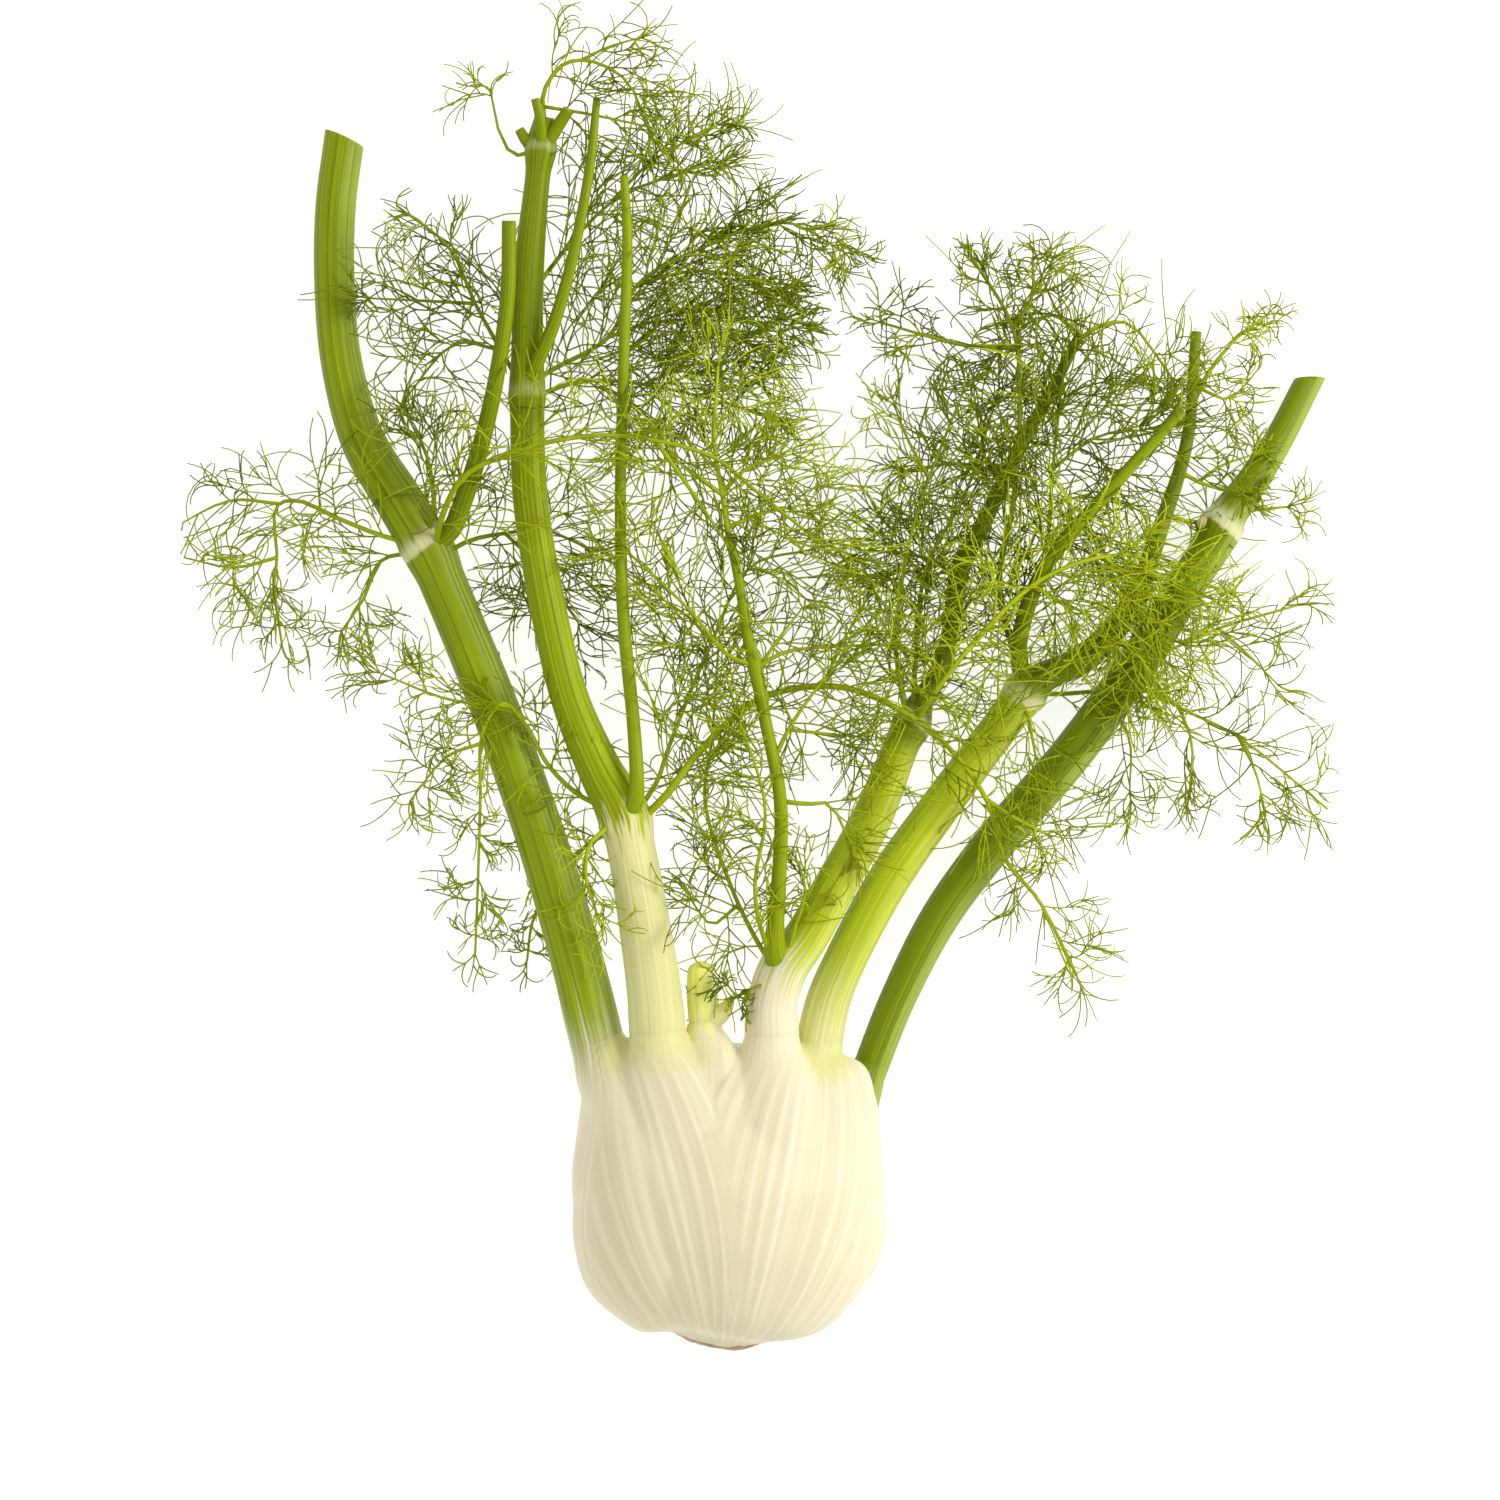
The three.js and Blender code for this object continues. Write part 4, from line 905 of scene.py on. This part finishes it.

# The tone of each frond sets how dark its threads are: partly painted shade, set lower for the low and dense fronds
# that lie in shade, and partly the threads' own colour with a random spread.
FROND_STYLE = {"gap": 11.5, "pinna": 27.0, "fade": 0.4, "shade_and_tone": 0.57, "width": 1.6, "tips": 3}
FROND_STYLES = {
    "left_long": {"gap": 10.0, "pinna": 23.0},
    "left_drop": {"pinna": 18.0},
    "arch": {"width": 2.0},
    "inner_left": {"gap": 7.5, "pinna": 25.0, "shade_and_tone": 0.36},
    "left_up": {"gap": 8.0, "pinna": 24.0, "shade_and_tone": 0.36},
    "crown_left": {"gap": 12.5, "pinna": 31.0, "fade": 0.75, "shade_and_tone": 0.36, "tips": 1},
    "top": {"gap": 15.0, "pinna": 23.0, "shade_and_tone": 0.55},
    "top_left": {"gap": 20.0, "pinna": 18.0, "tips": 2},
    "tall_high": {"gap": 9.0, "pinna": 30.0, "fade": 0.65, "shade_and_tone": 0.45},
    "tall_long": {"gap": 5.6, "pinna": 34.0, "fade": 0.75, "shade_and_tone": 0.4},
    "tall_low": {"gap": 6.0, "pinna": 32.0, "fade": 0.65, "shade_and_tone": 0.38},
    "low_left": {"gap": 10.0, "pinna": 17.0, "shade_and_tone": 0.6},
    "low_front": {"gap": 8.0, "pinna": 17.0, "shade_and_tone": 0.7},
    "low_behind": {"gap": 11.0, "pinna": 14.0},
    "middle_arch": {"gap": 11.0, "width": 2.4, "shade_and_tone": 0.6},
    "middle_rise": {"gap": 9.5},
    "inner_left_thin": {"gap": 9.5, "pinna": 24.0},
    "inner_front_thin": {"pinna": 22.0},
    "inner_short": {"gap": 9.0, "pinna": 16.0},
    "inner_curl": {"gap": 6.0, "pinna": 8.0, "shade_and_tone": 0.3, "width": 1.2},
    "upright_top": {"gap": 12.0, "pinna": 29.0, "shade_and_tone": 0.8, "width": 2.0},
    "inner_high_left": {"gap": 11.0, "pinna": 20.0, "fade": 0.6, "shade_and_tone": 0.5},
    "inner_high_right": {"gap": 7.0, "pinna": 25.0, "fade": 0.4, "shade_and_tone": 0.36},
    "inner_plume": {"gap": 4.7, "pinna": 29.0, "shade_and_tone": 0.8, "width": 2.0},
    "inner_mid": {"gap": 5.0, "pinna": 25.0, "shade_and_tone": 0.55},
    "inner_upper": {"gap": 9.0, "pinna": 17.0, "shade_and_tone": 0.5},
    "inner_tip": {"gap": 12.0, "pinna": 18.0},
    "right_high": {"gap": 7.5, "pinna": 30.0, "fade": 0.75, "shade_and_tone": 0.35, "width": 2.2},
    "right_inner": {"gap": 4.6, "pinna": 36.0, "fade": 0.35, "shade_and_tone": 0.4},
    "joint_behind": {"gap": 14.0, "pinna": 21.0, "shade_and_tone": 0.55},
    "fork_low": {"pinna": 15.0},
    "fork_side": {"pinna": 16.0},
    "fork_behind": {"gap": 15.0, "pinna": 19.0},
    "fork_high": {"pinna": 15.0},
}
FROND_DARK = linear(98, 110, 0)
FROND_MID = linear(146, 159, 0)
FROND_BRIGHT = linear(190, 204, 24)

# Where finer threads leave a side branch and a thread of it, and how likely each is
BRANCH_PLACES = (0.2, 0.45, 0.7)
FORK_PLACES = (0.42,)
BRANCH_CHANCE = 0.86
FORK_CHANCE = 0.56

# How far a thread turns from its root to its tip, in radians: a typical bend, a typical sway and a typical lift
BEND = 1.2
SWAY = 1.6
LIFT = 0.35


class Threads:
    """Collects the threads of one frond and turns them into one mesh."""

    def __init__(self, rng, low, high):
        self.rng = rng
        self.low = low
        self.high = high
        self.blocks = {}

    def add(self, points, start_width, end_width, shade_and_tone, sides):
        key = (len(points), sides)
        self.blocks.setdefault(key, []).append((points, start_width, end_width, shade_and_tone))

    def inside(self, point):
        return bool(np.all(point >= self.low) and np.all(point <= self.high))

    def thread(self, start, heading, normal, length, width, shade_and_tone):
        """One thread that winds as it grows. Gives its points, or nothing where it would leave the box."""
        step = length / THREAD_STEPS
        turn = self.rng.gauss(0, BEND) / THREAD_STEPS
        sway = self.rng.gauss(0, SWAY) / THREAD_STEPS
        lift = self.rng.gauss(0, LIFT) / THREAD_STEPS
        points = [start]
        for index in range(THREAD_STEPS):
            heading = unit(turned(heading, normal, turn + sway * (index / THREAD_STEPS - 0.5)) + normal * lift)
            points.append(points[-1] + heading * step)
        if not self.inside(points[-1]):
            return None
        self.add(points, width, width * THREAD_TIP, shade_and_tone, THREAD_SIDES)
        return points

    def mesh(self):
        vertices = []
        faces = []
        shades_and_tones = []
        base = 0
        for (count, sides), items in self.blocks.items():
            lines = np.clip(np.array([item[0] for item in items]), self.low, self.high)
            widths = np.array([[item[1], item[2]] for item in items])
            shade_and_tone = np.array([item[3] for item in items])
            forward = unit(np.gradient(lines, axis=1))
            helper = np.where(np.abs(forward[..., 2:3]) > 0.9, [[[1.0, 0, 0]]], [[[0, 0, 1.0]]])
            side = unit(np.cross(forward, helper))
            top = np.cross(side, forward)
            share = np.linspace(0, 1, count)
            radius = (widths[:, :1] * (1 - share) + widths[:, 1:] * share) / 2
            angles = np.arange(sides) * 2 * math.pi / sides
            ring = (lines[:, :, None, :]
                    + side[:, :, None, :] * (radius[..., None] * np.cos(angles))[..., None]
                    + top[:, :, None, :] * (radius[..., None] * np.sin(angles))[..., None])
            vertices.append(ring.reshape(-1, 3))
            shades_and_tones.append(np.repeat(shade_and_tone, count * sides))
            thread = base + np.arange(len(items))[:, None, None] * count * sides
            row = thread + np.arange(count - 1)[None, :, None] * sides
            corner = np.arange(sides)[None, None, :]
            following = (corner + 1) % sides
            quads = np.stack([row + corner, row + sides + corner, row + sides + following, row + following], axis=-1)
            faces += quads.reshape(-1, 4).tolist()
            first = (thread[:, 0, :] + np.arange(sides)[None, :])[:, ::-1]
            last = thread[:, 0, :] + (count - 1) * sides + np.arange(sides)[None, :]
            faces += first[:, ::-1].tolist() + last[:, ::-1].tolist()
            base += len(items) * count * sides
        return np.vstack(vertices), faces, np.concatenate(shades_and_tones)


def turned(direction, axis, angle):
    """A direction turned about an axis."""
    return (direction * math.cos(angle) + np.cross(axis, direction) * math.sin(angle)
            + axis * np.dot(axis, direction) * (1 - math.cos(angle)))


def grow_side(threads, start, heading, normal, length, width, shade_and_tone, level):
    """A side branch that winds as it grows, with finer ones along both sides of it."""
    rng = threads.rng
    points = threads.thread(start, heading, normal, length, width, shade_and_tone)
    if points is None or level == 0:
        return
    line = np.array(points)
    places, chance = (BRANCH_PLACES, BRANCH_CHANCE) if level > 1 else (FORK_PLACES, FORK_CHANCE)
    for place in places:
        for hand in (-1, 1):
            if rng.random() > chance:
                continue
            share = place + rng.uniform(-0.09, 0.09)
            index = min(int(share * THREAD_STEPS), THREAD_STEPS - 1)
            root = line[index] + (line[index + 1] - line[index]) * (share * THREAD_STEPS - index)
            forward = unit(line[index + 1] - line[index])
            axis = turned(normal, forward, rng.gauss(0, 0.55))
            child = turned(forward, axis, hand * math.radians(rng.uniform(22, 50)))
            reach = length * (1.0 - 0.35 * share) * rng.uniform(0.75, 1.25)
            shade = shade_and_tone + rng.gauss(0, 0.1)
            grow_side(threads, root, child, axis, reach, width * 0.9, shade, level - 1)


def grow_frond(name, stems, material, low, high):
    style = {**FROND_STYLE, **FROND_STYLES.get(name, {})}
    rng = random.Random("fennel " + name)
    threads = Threads(rng, low, high)
    for order, stem in enumerate(stems):
        span = np.linalg.norm(np.diff(np.array(stem, float), axis=0), axis=1).sum()
        count = max(6, int(span / 4))
        line = catmull(np.array(stem, float), np.linspace(0, 1, count))
        thick = style["width"] * (1.0 if order == 0 else 0.75)
        threads.add(list(line), thick, thick * 0.45, style["shade_and_tone"] + 0.05, STEM_SIDES)
        forward = unit(np.gradient(line, axis=0))
        lengths = np.concatenate([[0], np.cumsum(np.linalg.norm(np.diff(line, axis=0), axis=1))])
        place = style["gap"] * (0.9 if order == 0 else 0.4)
        while place < lengths[-1]:
            index = min(int(np.searchsorted(lengths, place)), count - 1)
            share = place / lengths[-1]
            heading = forward[index]
            flat = unit(np.array([0, 0, 1.0]) - heading * heading[2])
            for hand in (-1, 1):
                normal = turned(flat, heading, rng.gauss(0, 0.5))
                angle = hand * math.radians(rng.uniform(30, 58))
                child = turned(heading, normal, angle)
                reach = style["pinna"] * (1.0 - style["fade"] * share) * rng.uniform(0.65, 1.2)
                shade_and_tone = style["shade_and_tone"] + rng.gauss(0, 0.15)
                grow_side(threads, line[index], child, normal, reach, THREAD_WIDTH * 1.2, shade_and_tone, 2)
            place += style["gap"] * rng.uniform(0.8, 1.2)
        for _ in range(style["tips"]):
            child = unit(forward[-1] + np.array([rng.gauss(0, 0.35), rng.gauss(0, 0.35), rng.gauss(0, 0.2)]))
            upright = unit(np.array([0, 0, 1.0]) - child * child[2])
            grow_side(threads, line[-1], child, upright, style["pinna"] * (1.0 - style["fade"]),
                      THREAD_WIDTH * 1.2, style["shade_and_tone"], 1)
    vertices, faces, shades_and_tones = threads.mesh()
    piece = make_piece(name + "_threads", vertices, faces, name, material)
    # Threads run from dark to bright with their tone, which holds painted shade for the low and dense fronds.
    colours = mixed(mixed(FROND_DARK, FROND_MID, shades_and_tones * 2), FROND_BRIGHT, shades_and_tones * 2 - 1)
    set_colours(piece, colours)
    return sum(len(face) - 2 for face in faces)


# The surface, the light and the camera

FRAME_WIDTH = 0.450
VIEW_CENTRE = (0.0075, 0.132, 0.030)
LENS = 135.0
SENSOR = 36.0


def build_stage():
    mesh = bpy.data.meshes.new("floor")
    reach = 3.0
    mesh.from_pydata([(-reach, -reach, 0), (reach, -reach, 0), (reach, reach, 0), (-reach, reach, 0)], [], [(0, 1, 2, 3)])
    floor = bpy.data.objects.new("floor", mesh)
    bpy.context.collection.objects.link(floor)
    material, _, shader = new_material("floor")
    shader.inputs["Base Color"].default_value = (0.5, 0.5, 0.5, 1)
    shader.inputs["Roughness"].default_value = 0.9
    shader.inputs["Specular IOR Level"].default_value = 0.1
    shader.inputs["Emission Color"].default_value = (1, 1, 1, 1)
    shader.inputs["Emission Strength"].default_value = 0.78
    mesh.materials.append(material)


def add_light(name, place, size, power):
    data = bpy.data.lights.new(name, "AREA")
    data.energy = power
    data.size = size
    light = bpy.data.objects.new(name, data)
    bpy.context.collection.objects.link(light)
    light.location = place
    target = np.array(VIEW_CENTRE)
    direction = target - np.array(place)
    from mathutils import Vector
    light.rotation_euler = Vector(direction).to_track_quat("-Z", "Y").to_euler()


def build_light():
    world = bpy.data.worlds.new("studio")
    bpy.context.scene.world = world
    world.use_nodes = True
    background = world.node_tree.nodes["Background"]
    background.inputs["Color"].default_value = (1, 1, 1, 1)
    background.inputs["Strength"].default_value = 0.62
    add_light("key", (1.0, 0.5, 0.9), 0.7, 13)
    add_light("fill", (-0.8, -0.3, 1.3), 1.0, 2)


def build_camera():
    data = bpy.data.cameras.new("camera")
    data.lens = LENS
    data.sensor_width = SENSOR
    camera = bpy.data.objects.new("camera", data)
    bpy.context.collection.objects.link(camera)
    distance = LENS / SENSOR * FRAME_WIDTH
    camera.location = (VIEW_CENTRE[0], VIEW_CENTRE[1], VIEW_CENTRE[2] + distance)
    camera.rotation_euler = (0, 0, 0)
    bpy.context.scene.camera = camera


bpy.context.scene.view_settings.view_transform = "Standard"
stalk_skin = plant_material("stalk", 0.42, 0.22, 0.0035, (1.3, 0.02, 1.0), 0.2, 0.25, 0.2)
bulb_skin = plant_material("bulb", 0.42, 0.22, 0.0035, (1.2, 0.05, 1.0), 0.05, 0.15, 0.8)
fronds = frond_material()
build_bulb(bulb_skin)
build_stalks(stalk_skin)
box_low = np.array(CAD_BOX[0]) / MM
box_high = np.array(CAD_BOX[1]) / MM
box_low[2] = LOWEST
triangles = 0
for frond_name, frond_stems in FRONDS.items():
    triangles += grow_frond(frond_name, frond_stems, fronds, box_low, box_high)
build_stage()
build_light()
build_camera()
